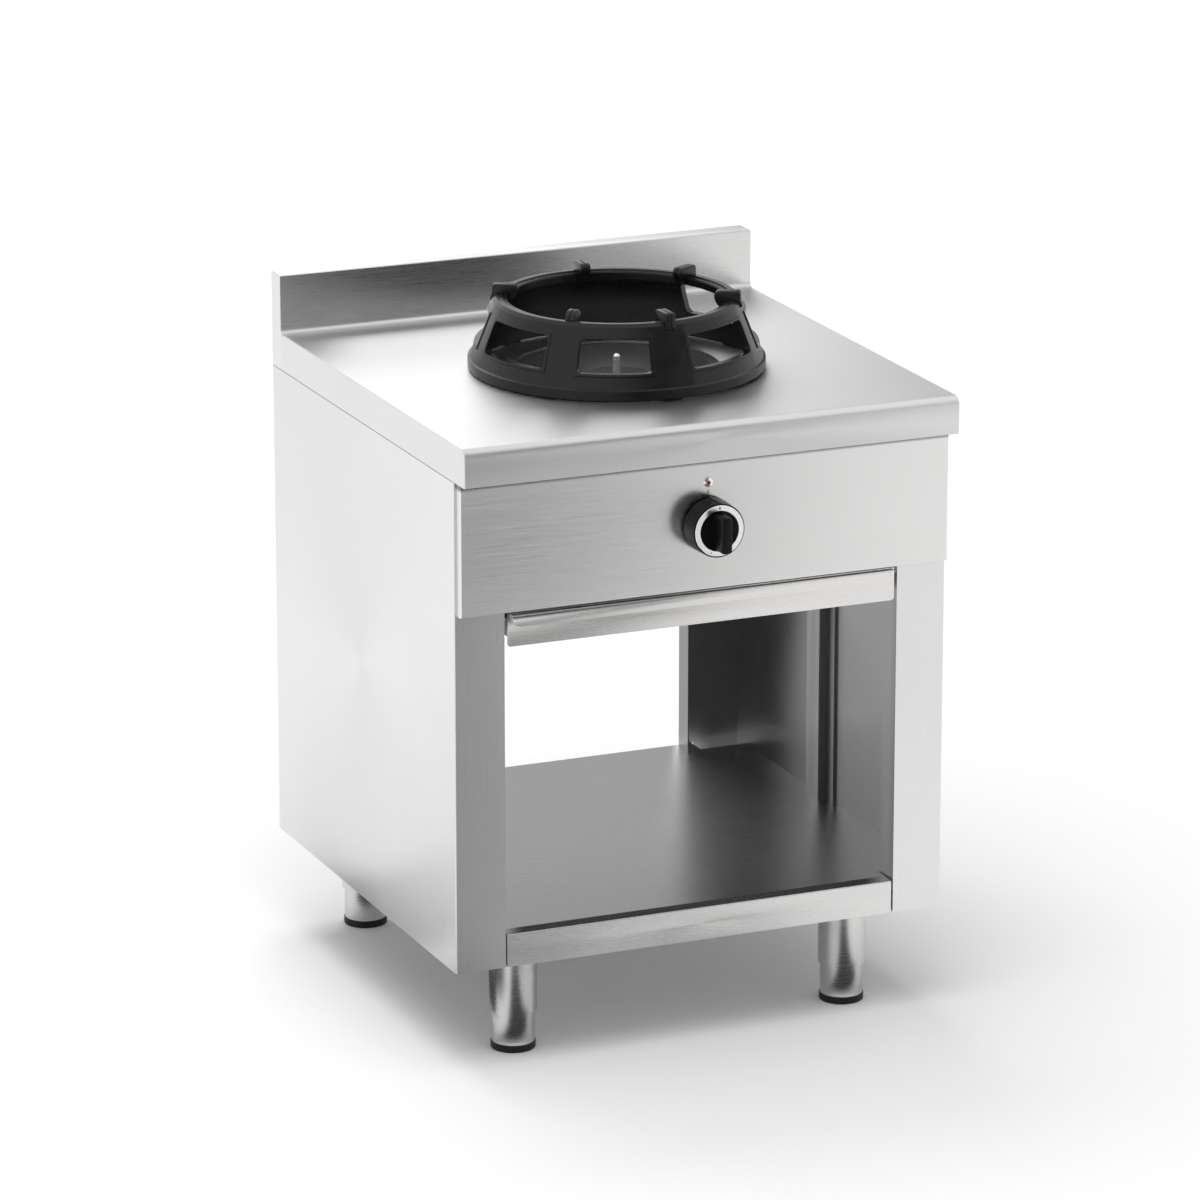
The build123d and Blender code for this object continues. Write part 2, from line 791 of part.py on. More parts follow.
def make_flame_sensor():
    px, py = pilot_place(1)
    z1 = worktop_height - sensor_drop
    sensor = post(px, py, z1 - sensor_height, z1, sensor_radius)
    return fillet(sensor.edges().group_by(Axis.Z)[-1], sensor_radius * 0.9)


def make_pilot_pipe():
    # from the tap's side outlet up to the pilot burner
    px, py = pilot_place(0)
    x0 = -tap_radius
    x1 = x0 - pilot_pipe_offset
    y0 = tap_face + pilot_outlet
    z0 = knob_height
    z2 = worktop_height - pilot_drop - pilot_height
    z1 = z2 - pilot_pipe_rise
    path = FilletPolyline((x0, y0, z0), (x1, y0, z0), (x1, y0, z1), (px, py, z1), (px, py, z2),
                          radius=pilot_pipe_bend)
    return tube_along(path, pilot_pipe_radius, pilot_pipe_radius - pilot_pipe_wall)


def make_gas_manifold():
    path = FilletPolyline((-manifold_stub, manifold_y, knob_height),
                          (manifold_x, manifold_y, knob_height),
                          (manifold_x, back + inlet_proud, knob_height), radius=manifold_bend)
    pipe = tube_along(path, manifold_radius, manifold_radius - manifold_wall)
    # shank through the rear panel, threaded free end, and the closed end
    shank_start = back - body_sheet - 2 * locknut_thickness
    thread_start = back + locknut_thickness
    end = rod(manifold_x, knob_height, shank_start, thread_start, inlet_shank_radius)
    end += rod(manifold_x, knob_height, thread_start, back + inlet_proud, inlet_thread_radius)
    pipe += end - rod(manifold_x, knob_height, shank_start - 1, back + inlet_proud + 1,
                      manifold_radius - manifold_wall)
    cap = Pos(-manifold_stub - manifold_cap / 2, manifold_y, knob_height) * Rot(0, 90, 0)
    return pipe + cap * Cylinder(manifold_radius, manifold_cap)


def make_locknuts():
    nuts = []
    for y0 in (back - body_sheet - locknut_thickness, back):
        nut = hexagon(manifold_x, knob_height, y0, y0 + locknut_thickness, locknut_size)
        nuts.append(nut - rod(manifold_x, knob_height, y0 - 1, y0 + locknut_thickness + 1,
                              inlet_shank_radius))
    return Compound(children=nuts)


def make_tap_body():
    y1 = tap_face + tap_length
    body = rod(0, knob_height, tap_face, y1, tap_radius)
    body += plate(-tap_radius, tap_radius, tap_face + tap_flange, manifold_y,
                  knob_height - tap_radius, knob_height + tap_radius)
    body += rod(0, knob_height, tap_face - body_sheet - tap_nut_length, tap_face + 1, tap_nose_radius)
    saddle = Pos(0, manifold_y, knob_height) * Rot(0, 90, 0)
    body -= saddle * Cylinder(manifold_radius, 4 * tap_radius)
    nose = tap_face - body_sheet - tap_nut_length
    return body - rod(0, knob_height, nose - 1, nose + stem_depth, stem_radius + stem_clearance)


def make_tap_clamp():
    # strap that holds the tap on the manifold
    half = clamp_width / 2
    clamp = plate(-half, half, manifold_y, manifold_y + manifold_radius + clamp_wall,
                  knob_height - tap_radius, knob_height + tap_radius)
    saddle = Pos(0, manifold_y, knob_height) * Rot(0, 90, 0)
    return clamp - saddle * Cylinder(manifold_radius, 4 * tap_radius)


def make_tap_nut():
    y1 = front + tap_bracket_setback
    nut = hexagon(0, knob_height, y1 - tap_nut_length, y1, tap_nut_size)
    return nut - rod(0, knob_height, y1 - tap_nut_length - 1, y1 + 1, tap_nose_radius)


def make_tap_bracket():
    y0 = front + tap_bracket_setback
    reach = tap_radius + tap_bracket_margin
    bracket = plate(-reach, reach, y0, y0 + body_sheet, knob_height - reach, rail_top)
    bracket += plate(-reach, reach, y0 - tap_bracket_flange, y0 + body_sheet / 2,
                     rail_top - body_sheet, rail_top)
    return bracket - rod(0, knob_height, y0 - 1, y0 + body_sheet + 1, tap_nose_radius)


def make_tap_stem():
    nose = tap_face - body_sheet - tap_nut_length
    inner_end = nose + stem_depth - push_travel - stem_end_gap
    outer_end = panel_front - knob_gap - knob_bore_depth
    return rod(0, knob_height, outer_end, inner_end, stem_radius)


def make_stem_washer():
    y0 = front + washer_setback
    washer = rod(0, knob_height, y0, y0 + washer_thickness, washer_radius)
    return washer - rod(0, knob_height, y0 - 1, y0 + washer_thickness + 1,
                        stem_radius + stem_clearance)


def make_tap_spring():
    y0 = front + washer_setback + washer_thickness
    y1 = tap_face - body_sheet - tap_nut_length
    height = y1 - y0 - 2 * spring_wire
    wire = Helix(height / spring_turns, height, spring_radius)
    section = Plane(origin=wire @ 0, z_dir=wire % 0) * Circle(spring_wire)
    coil = sweep(section, path=wire, is_frenet=True)
    return Pos(0, y1 - spring_wire, knob_height) * Rot(90, 0, 0) * coil


def make_knob_body():
    rear = panel_front - knob_gap
    face = rear - knob_skirt_depth
    points = [(0, rear), (knob_skirt_radius - knob_rear_chamfer, rear),
              (knob_skirt_radius, rear - knob_rear_chamfer), (knob_skirt_radius, rear - knob_band),
              (knob_face_radius, face + 2 * knob_face_step),
              (knob_face_radius - knob_face_step, face), (0, face)]
    outline = make_face(Polyline(*[(r, y, 0) for r, y in points], close=True))
    knob = revolve(outline, Axis.Y, 360)
    groove = rod(0, 0, face - 1, face + knob_ring_depth - knob_ring_proud, knob_ring_outer)
    groove -= rod(0, 0, face - 2, face + knob_ring_depth, knob_ring_inner)
    knob -= groove
    grip = plate(-grip_width / 2, grip_width / 2, face - grip_depth,
                 face - knob_ring_proud - knob_seat_gap, -grip_length / 2 - grip_drop,
                 grip_length / 2 - grip_drop)
    ends = [e for e in grip.edges().filter_by(Axis.Y)]
    grip = fillet(ends, grip_round)
    grip = fillet(grip.edges().group_by(Axis.Y)[0], grip_edge)
    web = rod(0, 0, face - grip_depth / 2, face + 1, grip_web)
    root = plate(-grip_width / 2, grip_width / 2, face - grip_depth / 2, face + 1,
                 -grip_root, grip_root)
    knob += grip + web + root
    knob -= rod(0, 0, rear - knob_bore_depth, rear + 1, stem_radius)
    return Pos(0, 0, knob_height) * knob


def make_knob_ring():
    face = panel_front - knob_gap - knob_skirt_depth
    ring = rod(0, knob_height, face - knob_ring_proud, face + knob_ring_depth - knob_ring_proud,
               knob_ring_outer)
    ring -= rod(0, knob_height, face - knob_ring_proud - 1, face + knob_ring_depth, knob_ring_inner)
    rims = ring.edges().group_by(Axis.Y)[0]
    return chamfer(rims, knob_ring_chamfer)


def make_index_bezel():
    bezel = rod(0, index_height, panel_front - index_depth, panel_front, index_radius)
    bezel = fillet(bezel.edges().group_by(Axis.Y)[0], index_dome)
    return bezel - rod(0, index_height - dot_drop, panel_front - index_depth - 1, panel_front,
                       dot_radius)


def make_index_dot():
    dot = rod(0, index_height - dot_drop, panel_front - index_depth, panel_front, dot_radius)
    return fillet(dot.edges().group_by(Axis.Y)[0], index_depth / 3)


def ring_radius(height):
    # outer radius of the cone between the crease and the rim
    share = (height - ring_base_height) / (ring_height - ring_base_height)
    return ring_base_radius - ring_crease + share * (ring_top_radius - ring_base_radius + ring_crease)


def cone_shell(low, high, proud, deep):
    # a slice of the cone's wall, thickened outwards and inwards
    z0 = worktop_height + low
    z1 = worktop_height + high
    points = [(ring_radius(low) + proud, z0), (ring_radius(high) + proud, z1),
              (ring_radius(high) - deep, z1), (ring_radius(low) - deep, z0)]
    return turned(points, 0, well_y)


def window_block(angle, span, grow):
    # rounded prism that looks outwards through one window
    chord = 2 * ring_radius((window_low + window_high) / 2) * math.sin(math.radians(span / 2))
    face = RectangleRounded(chord + 2 * grow, window_high - window_low + 2 * grow,
                            window_corner + grow)
    z = worktop_height + (window_low + window_high) / 2
    prism = extrude(Plane.YZ * face, amount=ring_base_radius + ring_wall)
    prism -= plate(-1, ring_top_inner - lug_reach, -chord, chord, -window_high, window_high)
    return Pos(0, well_y, z) * Rot(0, 0, angle) * prism


def make_lug():
    # fin that carries the wok: it hooks over the rim, its inner end is round and a groove runs along it
    outer = ring_top_radius + lug_proud
    inner = ring_top_radius - lug_reach
    centre = lug_rise - lug_tip
    hook = ring_radius(ring_height - lug_hook) + lug_proud
    root = ring_radius(ring_height - lug_drop) - ring_wall - lug_rib
    tip = Pos(inner + lug_tip, centre) * Circle(lug_tip)
    neck = make_face(Polyline((hook, -lug_hook), (outer, 0), (outer, lug_rise - lug_shoulder),
                              (outer - lug_shoulder, lug_rise), (inner + lug_tip, lug_rise),
                              (inner + lug_tip, centre - lug_tip),
                              (ring_top_inner - lug_rib, -ring_rim_height), (root, -lug_drop),
                              (root + lug_tip, -lug_drop), close=True))
    outline = neck + tip
    band = outline - offset(outline, amount=-lug_groove_depth)
    fin = extrude(outline, amount=lug_width / 2, both=True)
    rims = [e for e in fin.edges() if abs(e.center().Z) > lug_width / 2 - 0.1 and e.center().Y > centre]
    fin = fillet(rims, lug_round)
    fin -= extrude(band, amount=lug_groove / 2, both=True)
    return Rot(90, 0, 0) * fin


def make_wok_ring():
    foot = ring_pad_height
    z = worktop_height
    base_in = ring_base_radius - ring_crease - ring_wall
    rim_z = z + ring_height
    shoulder = ring_height - ring_rim_height - ring_shoulder
    points = [(base_in, z + foot), (ring_base_radius - ring_edge, z + foot),
              (ring_base_radius, z + foot + ring_edge),
              (ring_base_radius, z + ring_base_height - ring_crease / 2),
              (ring_base_radius - ring_crease, z + ring_base_height),
              (ring_top_radius, rim_z - ring_rim_chamfer), (ring_top_radius - ring_rim_chamfer, rim_z),
              (ring_top_inner, rim_z), (ring_top_inner, rim_z - ring_rim_height),
              (ring_radius(shoulder) - ring_wall, z + shoulder), (base_in, z + ring_base_height)]
    ring = turned(points, 0, well_y)
    # raised borders outside and deep reveals inside each window
    for angle, span in zip(window_angles, window_spans):
        collar = cone_shell(window_low - 2 * window_border, window_high + 1.5 * window_border,
                            border_proud, reveal_depth + ring_wall)
        ring += collar & window_block(angle, span, window_border)
    for angle, span in zip(window_angles, window_spans):
        ring -= window_block(angle, span, 0)
    fin = make_lug()
    for angle in lug_angles:
        ring += Pos(0, well_y, z + ring_height) * Rot(0, 0, angle) * fin
    # small feet that keep the base off the worktop
    for index in range(ring_pads):
        pad = Pos(ring_base_radius - ring_wall, 0, ring_pad_height / 2 + 0.5)
        pad = pad * Box(ring_wall, ring_pad_width, ring_pad_height + 1)
        ring += Pos(0, well_y, z) * Rot(0, 0, 360 / ring_pads * index + ring_pad_turn) * pad
    return ring


def make_leg_bolts():
    bolts = []
    z1 = leg_top - leg_plate
    for x in leg_xs:
        for y in leg_ys:
            for index in range(leg_bolt_count):
                angle = math.radians(360 / leg_bolt_count * index + 45)
                bx = x + leg_bolt_circle * math.cos(angle)
                by = y + leg_bolt_circle * math.sin(angle)
                bolts.append(post(bx, by, z1 - leg_bolt_height, z1, leg_bolt_head))
    return Compound(children=bolts)


def make_panel_screws():
    screws = []
    z0 = apron_bottom - rear_panel_height
    for side in (-1, 1):
        for index in range(2):
            x = side * (post_inner + post_face / 2)
            z = shelf_top + rear_screw_rise + rear_screw_pitch * index
            screws.append(rod(x, z, back, back + screw_head_height, screw_head_radius))
        x = side * (rear_inner - vent_screw_inset)
        for z in (z0 + vent_screw_rise, apron_bottom - vent_screw_rise):
            screws.append(rod(x, z, back, back + screw_head_height, screw_head_radius))
    return Compound(children=screws)


def pair(solid):
    return {"left": mirrored(solid), "right": solid}


def all_parts():
    parts = {
        "worktop": make_worktop(),
        "splashback": make_splashback(),
        "bottom_shelf": make_bottom_shelf(),
        "front_crossmember": make_crossmember(post_inner, post_front + body_sheet,
                                              post_front + beam_depth, True),
        "rear_crossmember": make_crossmember(rear_inner, back - beam_depth,
                                             back - body_sheet, False),
        "rear_panel": make_rear_panel(),
        "control_panel": make_control_panel(),
        "drip_tray": make_drip_tray(),
        "wok_ring": make_wok_ring(),
        "burner_bowl": make_burner_bowl(),
        "burner_body": make_burner_body(),
        "mixing_tube": make_mixing_tube(),
        "air_shutter": make_air_shutter(),
        "injector_holder": make_injector_holder(),
        "injector": make_injector(),
        "supply_pipe": make_supply_pipe(),
        "burner_head": make_burner_head(),
        "burner_cap": make_burner_cap(),
        "burner_pin": make_burner_pin(),
        "pilot_bracket": make_pilot_bracket(),
        "pilot_burner": make_pilot_burner(),
        "flame_sensor": make_flame_sensor(),
        "pilot_pipe": make_pilot_pipe(),
        "gas_manifold": make_gas_manifold(),
        "inlet_locknuts": make_locknuts(),
        "tap_body": make_tap_body(),
        "tap_clamp": make_tap_clamp(),
        "tap_nut": make_tap_nut(),
        "tap_bracket": make_tap_bracket(),
        "tap_stem": make_tap_stem(),
        "stem_washer": make_stem_washer(),
        "tap_spring": make_tap_spring(),
        "knob_body": make_knob_body(),
        "knob_ring": make_knob_ring(),
        "index_bezel": make_index_bezel(),
        "index_dot": make_index_dot(),
        "leg_bolts": make_leg_bolts(),
        "panel_screws": make_panel_screws(),
    }
    sided = {
        "side_panel": make_side_panel(),
        "upright": make_upright(),
        "wall_rib": make_wall_rib(),
        "leg_rail": make_leg_rail(),
        "tray_runner": make_runner(),
        "burner_rail": make_burner_rail(),
    }
    for name, solid in sided.items():
        for side, one in pair(solid).items():
            parts[side + "_" + name] = one
    tubes = []
    inserts = []
    for y, place in zip(leg_ys, ("front", "back")):
        for x, side in zip(leg_xs, ("left", "right")):
            tubes.append(make_leg_tube(x, y))
            inserts.append(make_leg_insert(x, y))
            parts["foot_" + place + "_" + side] = make_foot(x, y)
            parts["pad_" + place + "_" + side] = make_pad(x, y)
    parts["leg_tubes"] = Compound(children=tubes)
    parts["leg_inserts"] = Compound(children=inserts)
    return parts


os.makedirs("parts", exist_ok=True)
for name, solid in all_parts().items():
    export_step(solid, "parts/" + name + ".step")
    print(name, round(solid.volume))
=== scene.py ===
# Gas wok range: looks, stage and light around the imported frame. Metres, front towards -Y, floor at z = 0.
import bpy
import bmesh
import json
import math
from mathutils import Matrix, Vector

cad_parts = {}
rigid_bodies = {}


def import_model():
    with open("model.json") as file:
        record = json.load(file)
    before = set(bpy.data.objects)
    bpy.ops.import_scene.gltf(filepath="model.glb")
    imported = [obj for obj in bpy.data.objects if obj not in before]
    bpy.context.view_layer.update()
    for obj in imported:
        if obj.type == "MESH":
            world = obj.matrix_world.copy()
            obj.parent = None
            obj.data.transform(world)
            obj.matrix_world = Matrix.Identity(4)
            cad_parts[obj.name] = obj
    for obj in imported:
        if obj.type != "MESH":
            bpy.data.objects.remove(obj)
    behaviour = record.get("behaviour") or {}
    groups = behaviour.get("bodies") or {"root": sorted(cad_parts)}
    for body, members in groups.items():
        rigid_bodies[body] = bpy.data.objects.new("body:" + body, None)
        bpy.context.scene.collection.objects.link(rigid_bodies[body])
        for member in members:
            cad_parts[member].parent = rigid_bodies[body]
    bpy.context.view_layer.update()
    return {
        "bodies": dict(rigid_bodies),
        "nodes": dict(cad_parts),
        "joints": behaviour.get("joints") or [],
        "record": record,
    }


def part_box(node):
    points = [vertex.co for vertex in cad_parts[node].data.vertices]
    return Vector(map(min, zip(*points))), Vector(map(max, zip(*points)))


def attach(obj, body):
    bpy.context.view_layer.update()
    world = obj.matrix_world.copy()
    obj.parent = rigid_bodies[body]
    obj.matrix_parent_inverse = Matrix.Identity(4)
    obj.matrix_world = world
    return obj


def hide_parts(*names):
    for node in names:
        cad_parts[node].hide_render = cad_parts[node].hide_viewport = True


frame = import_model()
scene = bpy.context.scene
scene.view_settings.view_transform = "Standard"
print("frame loaded:", len(frame["nodes"]), "nodes")


# Camera, solved from the corners of the worktop and the cabinet

camera = {
    "place": (-3.2999, -7.7091, 2.9929),
    "turnRight": 0.403,  # radians from +Y towards +X
    "lookDown": 0.2863,
    "lens": 194.23,
    "sensor": 36.0,
    "reach": 200,
}


def makeCamera():
    turn, down = camera["turnRight"], camera["lookDown"]
    forward = Vector((math.sin(turn) * math.cos(down), math.cos(turn) * math.cos(down), -math.sin(down)))
    right = Vector((math.cos(turn), -math.sin(turn), 0))
    up = right.cross(forward)
    data = bpy.data.cameras.new("camera")
    data.lens = camera["lens"]
    data.sensor_width = camera["sensor"]
    data.clip_end = camera["reach"]
    item = bpy.data.objects.new("camera", data)
    scene.collection.objects.link(item)
    turned = Matrix((right, up, -forward)).transposed().to_4x4()
    item.matrix_world = Matrix.Translation(camera["place"]) @ turned
    scene.camera = item


makeCamera()


# Stage: pale floor, white surroundings, soft boxes, and dark or light cards that only reflections show

stage = {
    "floorSize": 60.0,
    "floorTone": 0.93,
    "nearLift": 0.05,  # glow of the floor near the object, for the camera and for reflections
    "farLift": 0.5,
    "liftFrom": 0.55,  # distances between which the glow rises
    "liftTo": 4.5,
    "worldLight": 0.52,
    "surroundLight": 1.0,
}


def addNode(tree, kind, place=(0, 0), **values):
    item = tree.nodes.new(kind)
    item.location = place
    for name, value in values.items():
        setattr(item, name, value)
    return item


def newMaterial(name):
    material = bpy.data.materials.new(name)
    material.use_nodes = True
    tree = material.node_tree
    tree.nodes.clear()
    output = addNode(tree, "ShaderNodeOutputMaterial", (600, 0))
    return material, tree, output


def litByRays(tree, *kinds):
    path = addNode(tree, "ShaderNodeLightPath", (-800, 300))
    last = path.outputs[kinds[0]]
    for kind in kinds[1:]:
        either = addNode(tree, "ShaderNodeMath", (-600, 300), operation="MAXIMUM")
        tree.links.new(last, either.inputs[0])
        tree.links.new(path.outputs[kind], either.inputs[1])
        last = either.outputs[0]
    return last


def makeWorld():
    world = bpy.data.worlds.new("studio")
    scene.world = world
    world.use_nodes = True
    tree = world.node_tree
    tree.nodes.clear()
    light = addNode(tree, "ShaderNodeBackground", (-200, 100))
    light.inputs["Strength"].default_value = stage["worldLight"]
    shown = addNode(tree, "ShaderNodeBackground", (-200, -100))
    shown.inputs["Strength"].default_value = stage["surroundLight"]
    for item in (light, shown):
        item.inputs["Color"].default_value = (1, 1, 1, 1)
    mix = addNode(tree, "ShaderNodeMixShader")
    output = addNode(tree, "ShaderNodeOutputWorld", (200, 0))
    tree.links.new(litByRays(tree, "Is Camera Ray", "Is Glossy Ray", "Is Transmission Ray"), mix.inputs[0])
    tree.links.new(light.outputs[0], mix.inputs[1])
    tree.links.new(shown.outputs[0], mix.inputs[2])
    tree.links.new(mix.outputs[0], output.inputs[0])


def makeFloor():
    bpy.ops.mesh.primitive_plane_add(size=stage["floorSize"])
    floor = bpy.context.object
    floor.name = "floor"
    material, tree, output = newMaterial("floorWhite")
    paper = addNode(tree, "ShaderNodeBsdfDiffuse", (0, 100))
    paper.inputs["Color"].default_value = (stage["floorTone"],) * 3 + (1,)
    lift = addNode(tree, "ShaderNodeEmission", (0, -100))
    coords = addNode(tree, "ShaderNodeTexCoord", (-600, -100))
    distance = addNode(tree, "ShaderNodeVectorMath", (-400, -100), operation="LENGTH")
    rise = addNode(tree, "ShaderNodeMapRange", (-200, -100), interpolation_type="SMOOTHSTEP")
    rise.inputs["From Min"].default_value = stage["liftFrom"]
    rise.inputs["From Max"].default_value = stage["liftTo"]
    rise.inputs["To Min"].default_value = stage["nearLift"]
    rise.inputs["To Max"].default_value = stage["farLift"]
    tree.links.new(coords.outputs["Object"], distance.inputs[0])
    tree.links.new(distance.outputs["Value"], rise.inputs["Value"])
    tree.links.new(rise.outputs[0], lift.inputs["Strength"])
    both = addNode(tree, "ShaderNodeAddShader", (200, 0))
    mix = addNode(tree, "ShaderNodeMixShader", (400, 0))
    tree.links.new(paper.outputs[0], both.inputs[0])
    tree.links.new(lift.outputs[0], both.inputs[1])
    tree.links.new(litByRays(tree, "Is Camera Ray", "Is Glossy Ray", "Is Transmission Ray"), mix.inputs[0])
    tree.links.new(paper.outputs[0], mix.inputs[1])
    tree.links.new(both.outputs[0], mix.inputs[2])
    tree.links.new(mix.outputs[0], output.inputs[0])
    floor.data.materials.append(material)


# Soft boxes: middle, point it faces, size, power in watts, whether reflections show it
softBoxes = {
    "keyBox": ((-1.0, -0.9, 4.0), (0, 0, 0.6), (3.2, 2.6), 80, False),
    "backBox": ((-0.2, 1.6, 3.8), (0, 0, 0.6), (2.4, 1.6), 46, False),
}


def makeSoftBoxes():
    for name, (place, target, size, power, reflected) in softBoxes.items():
        data = bpy.data.lights.new(name, "AREA")
        data.shape = "RECTANGLE"
        data.size, data.size_y = size
        data.energy = power
        item = bpy.data.objects.new(name, data)
        item.location = place
        item.visible_glossy = reflected
        item.rotation_euler = (Vector(target) - Vector(place)).to_track_quat("-Z", "Y").to_euler()
        scene.collection.objects.link(item)


# Cards: middle, turn about Z and tilt in degrees, width and height, tone, soft edge across and along.
# The names in frontOnly show on one side alone
cards = {
    "frontCard": ((-0.2, -3.4, 1.3), 0, 90, (3.2, 2.6), 0.02, (0.12, 0.12)),
    "ringCard": ((1.3, -3.4, 3.0), 0, 90, (3.4, 1.6), 0.02, (0.15, 0.12)),
    "floorCard": ((0.22, -2.0, 0.012), 23, 0, (1.25, 3.3), 0.34, (0.35, 0.1)),
    "lowCard": ((0.62, -2.9, 0.02), 23, 0, (1.2, 1.5), 0.03, (0.35, 0.25)),
    "rightCard": ((1.45, -2.2, 0.012), 23, 0, (1.5, 4.4), 1.1, (0.3, 0.1)),
    "leftLegCard": ((-0.28, -0.448, 0.014), -23, 0, (0.22, 0.4), 0.05, (0.2, 0.12)),
    "rightLegCard": ((0.19, -0.448, 0.014), -23, 0, (0.22, 0.4), 0.05, (0.2, 0.12)),
    "backLegCard": ((-0.36, 0.02, 0.014), -23, 0, (0.22, 0.5), 0.05, (0.2, 0.1)),
    "leftSideCard": ((-0.6, -0.2, 0.012), 0, 0, (0.42, 0.6), 0.08, (0.3, 0.3)),
    "leftBackCard": ((-0.52, 0.3, 0.012), 0, 0, (0.2, 0.4), 0.08, (0.2, 0.2)),
    "mouthCard": ((0, -0.29, 0.37), 0, 90, (0.56, 0.43), 0.04, (0.06, 0.06)),
    "openingCard": ((0, 0.372, 0.41), 0, 90, (0.54, 0.5), 0.42, (0.03, 0.06)),
    "sideBackCard": ((1.7, 1.9, 1.9), 0, 90, (1.5, 2.4), 0.15, (0.3, 0.2)),
    "backGlow": ((0.4, 3.2, 3.0), 0, 90, (2.4, 3.2), 2.0, (0.3, 0.3)),
    "splashGlow": ((-0.13, 0.282, 0.912), 0, 90, (0.44, 0.1), 1.2, (0.25, 0.1)),
}
frontOnly = ("splashGlow",)


def cardMaterial(name, tone, soft):
    # one tone in the middle, fading to nothing at the edges
    material, tree, output = newMaterial(name)
    coords = addNode(tree, "ShaderNodeTexCoord", (-1000, 0))
    split = addNode(tree, "ShaderNodeSeparateXYZ", (-800, 0))
    tree.links.new(coords.outputs["Object"], split.inputs[0])
    fades = []
    for index in (0, 1):
        size = addNode(tree, "ShaderNodeMath", (-600, -150 * index), operation="ABSOLUTE")
        fade = addNode(tree, "ShaderNodeMapRange", (-400, -150 * index), interpolation_type="SMOOTHSTEP")
        fade.inputs["From Min"].default_value = 0.5
        fade.inputs["From Max"].default_value = 0.5 - soft[index]
        tree.links.new(split.outputs[index], size.inputs[0])
        tree.links.new(size.outputs[0], fade.inputs["Value"])
        fades.append(fade)
    both = addNode(tree, "ShaderNodeMath", (-200, 0), operation="MULTIPLY")
    tree.links.new(fades[0].outputs[0], both.inputs[0])
    tree.links.new(fades[1].outputs[0], both.inputs[1])
    clear = addNode(tree, "ShaderNodeBsdfTransparent", (0, 100))
    toned = addNode(tree, "ShaderNodeEmission", (0, -100))
    toned.inputs["Color"].default_value = (tone, tone, tone, 1)
    mix = addNode(tree, "ShaderNodeMixShader", (300, 0))
    tree.links.new(both.outputs[0], mix.inputs[0])
    tree.links.new(clear.outputs[0], mix.inputs[1])
    tree.links.new(toned.outputs[0], mix.inputs[2])
    shown = mix.outputs[0]
    if name in frontOnly:
        facing = addNode(tree, "ShaderNodeNewGeometry", (300, 300))
        sides = addNode(tree, "ShaderNodeMixShader", (450, 100))
        tree.links.new(facing.outputs["Backfacing"], sides.inputs[0])
        tree.links.new(shown, sides.inputs[1])
        tree.links.new(clear.outputs[0], sides.inputs[2])
        shown = sides.outputs[0]
    tree.links.new(shown, output.inputs[0])
    return material


def makeCards():
    for name, (place, turn, tilt, size, tone, soft) in cards.items():
        bpy.ops.mesh.primitive_plane_add(size=1)
        card = bpy.context.object
        card.name = name
        card.scale = (size[0], size[1], 1)
        card.rotation_euler = (math.radians(tilt), 0, math.radians(turn))
        card.location = place
        card.visible_camera = False
        card.visible_diffuse = False
        card.visible_shadow = False
        card.data.materials.append(cardMaterial(name, tone, soft))


makeWorld()
makeFloor()
makeSoftBoxes()
makeCards()
print("stage and lights made")


# Shader groups that more than one material uses

def newGroup(name, inputs, outputs):
    group = bpy.data.node_groups.new(name, "ShaderNodeTree")
    for label, kind, value in inputs:
        socket = group.interface.new_socket(name=label, in_out="INPUT", socket_type=kind)
        if value is not None:
            socket.default_value = value
    for label, kind in outputs:
        group.interface.new_socket(name=label, in_out="OUTPUT", socket_type=kind)
    return group, group.nodes.new("NodeGroupInput"), group.nodes.new("NodeGroupOutput")


def noiseAt(tree, vector, scale, detail, rough, place):
    noise = addNode(tree, "ShaderNodeTexNoise", place)
    noise.inputs["Scale"].default_value = scale
    noise.inputs["Detail"].default_value = detail
    noise.inputs["Roughness"].default_value = rough
    tree.links.new(vector, noise.inputs["Vector"])
    return noise.outputs["Fac"]


def ranged(tree, value, low, high, place, fromLow=0.3, fromHigh=0.7):
    span = addNode(tree, "ShaderNodeMapRange", place)
    span.inputs["From Min"].default_value = fromLow
    span.inputs["From Max"].default_value = fromHigh
    tree.links.new(value, span.inputs["Value"])
    for label, end in (("To Min", low), ("To Max", high)):
        if isinstance(end, (int, float)):
            span.inputs[label].default_value = end
        else:
            tree.links.new(end, span.inputs[label])
    return span.outputs[0]


def makeGrainGroup():
    # brushed lines: the coordinates come in already stretched along the grain
    group, start, end = newGroup("brushedGrain", [
        ("Coords", "NodeSocketVector", None),
        ("Dark", "NodeSocketFloat", 0.9),
        ("Light", "NodeSocketFloat", 1.05),
        ("Smooth", "NodeSocketFloat", 0.25),
        ("Rough", "NodeSocketFloat", 0.35),
    ], [("Tone", "NodeSocketFloat"), ("Roughness", "NodeSocketFloat"), ("Height", "NodeSocketFloat")])
    coords = start.outputs["Coords"]
    broad = noiseAt(group, coords, 1.0, 3, 0.6, (-600, 200))
    fine = noiseAt(group, coords, 3.1, 2, 0.7, (-600, 0))
    both = addNode(group, "ShaderNodeMix", (-400, 100), data_type="FLOAT")
    both.inputs["Factor"].default_value = 0.5
    group.links.new(broad, both.inputs["A"])
    group.links.new(fine, both.inputs["B"])
    lines = both.outputs["Result"]
    tone = ranged(group, lines, start.outputs["Dark"], start.outputs["Light"], (-200, 200))
    rough = ranged(group, lines, start.outputs["Smooth"], start.outputs["Rough"], (-200, 0))
    group.links.new(tone, end.inputs["Tone"])
    group.links.new(rough, end.inputs["Roughness"])
    group.links.new(lines, end.inputs["Height"])
    return group


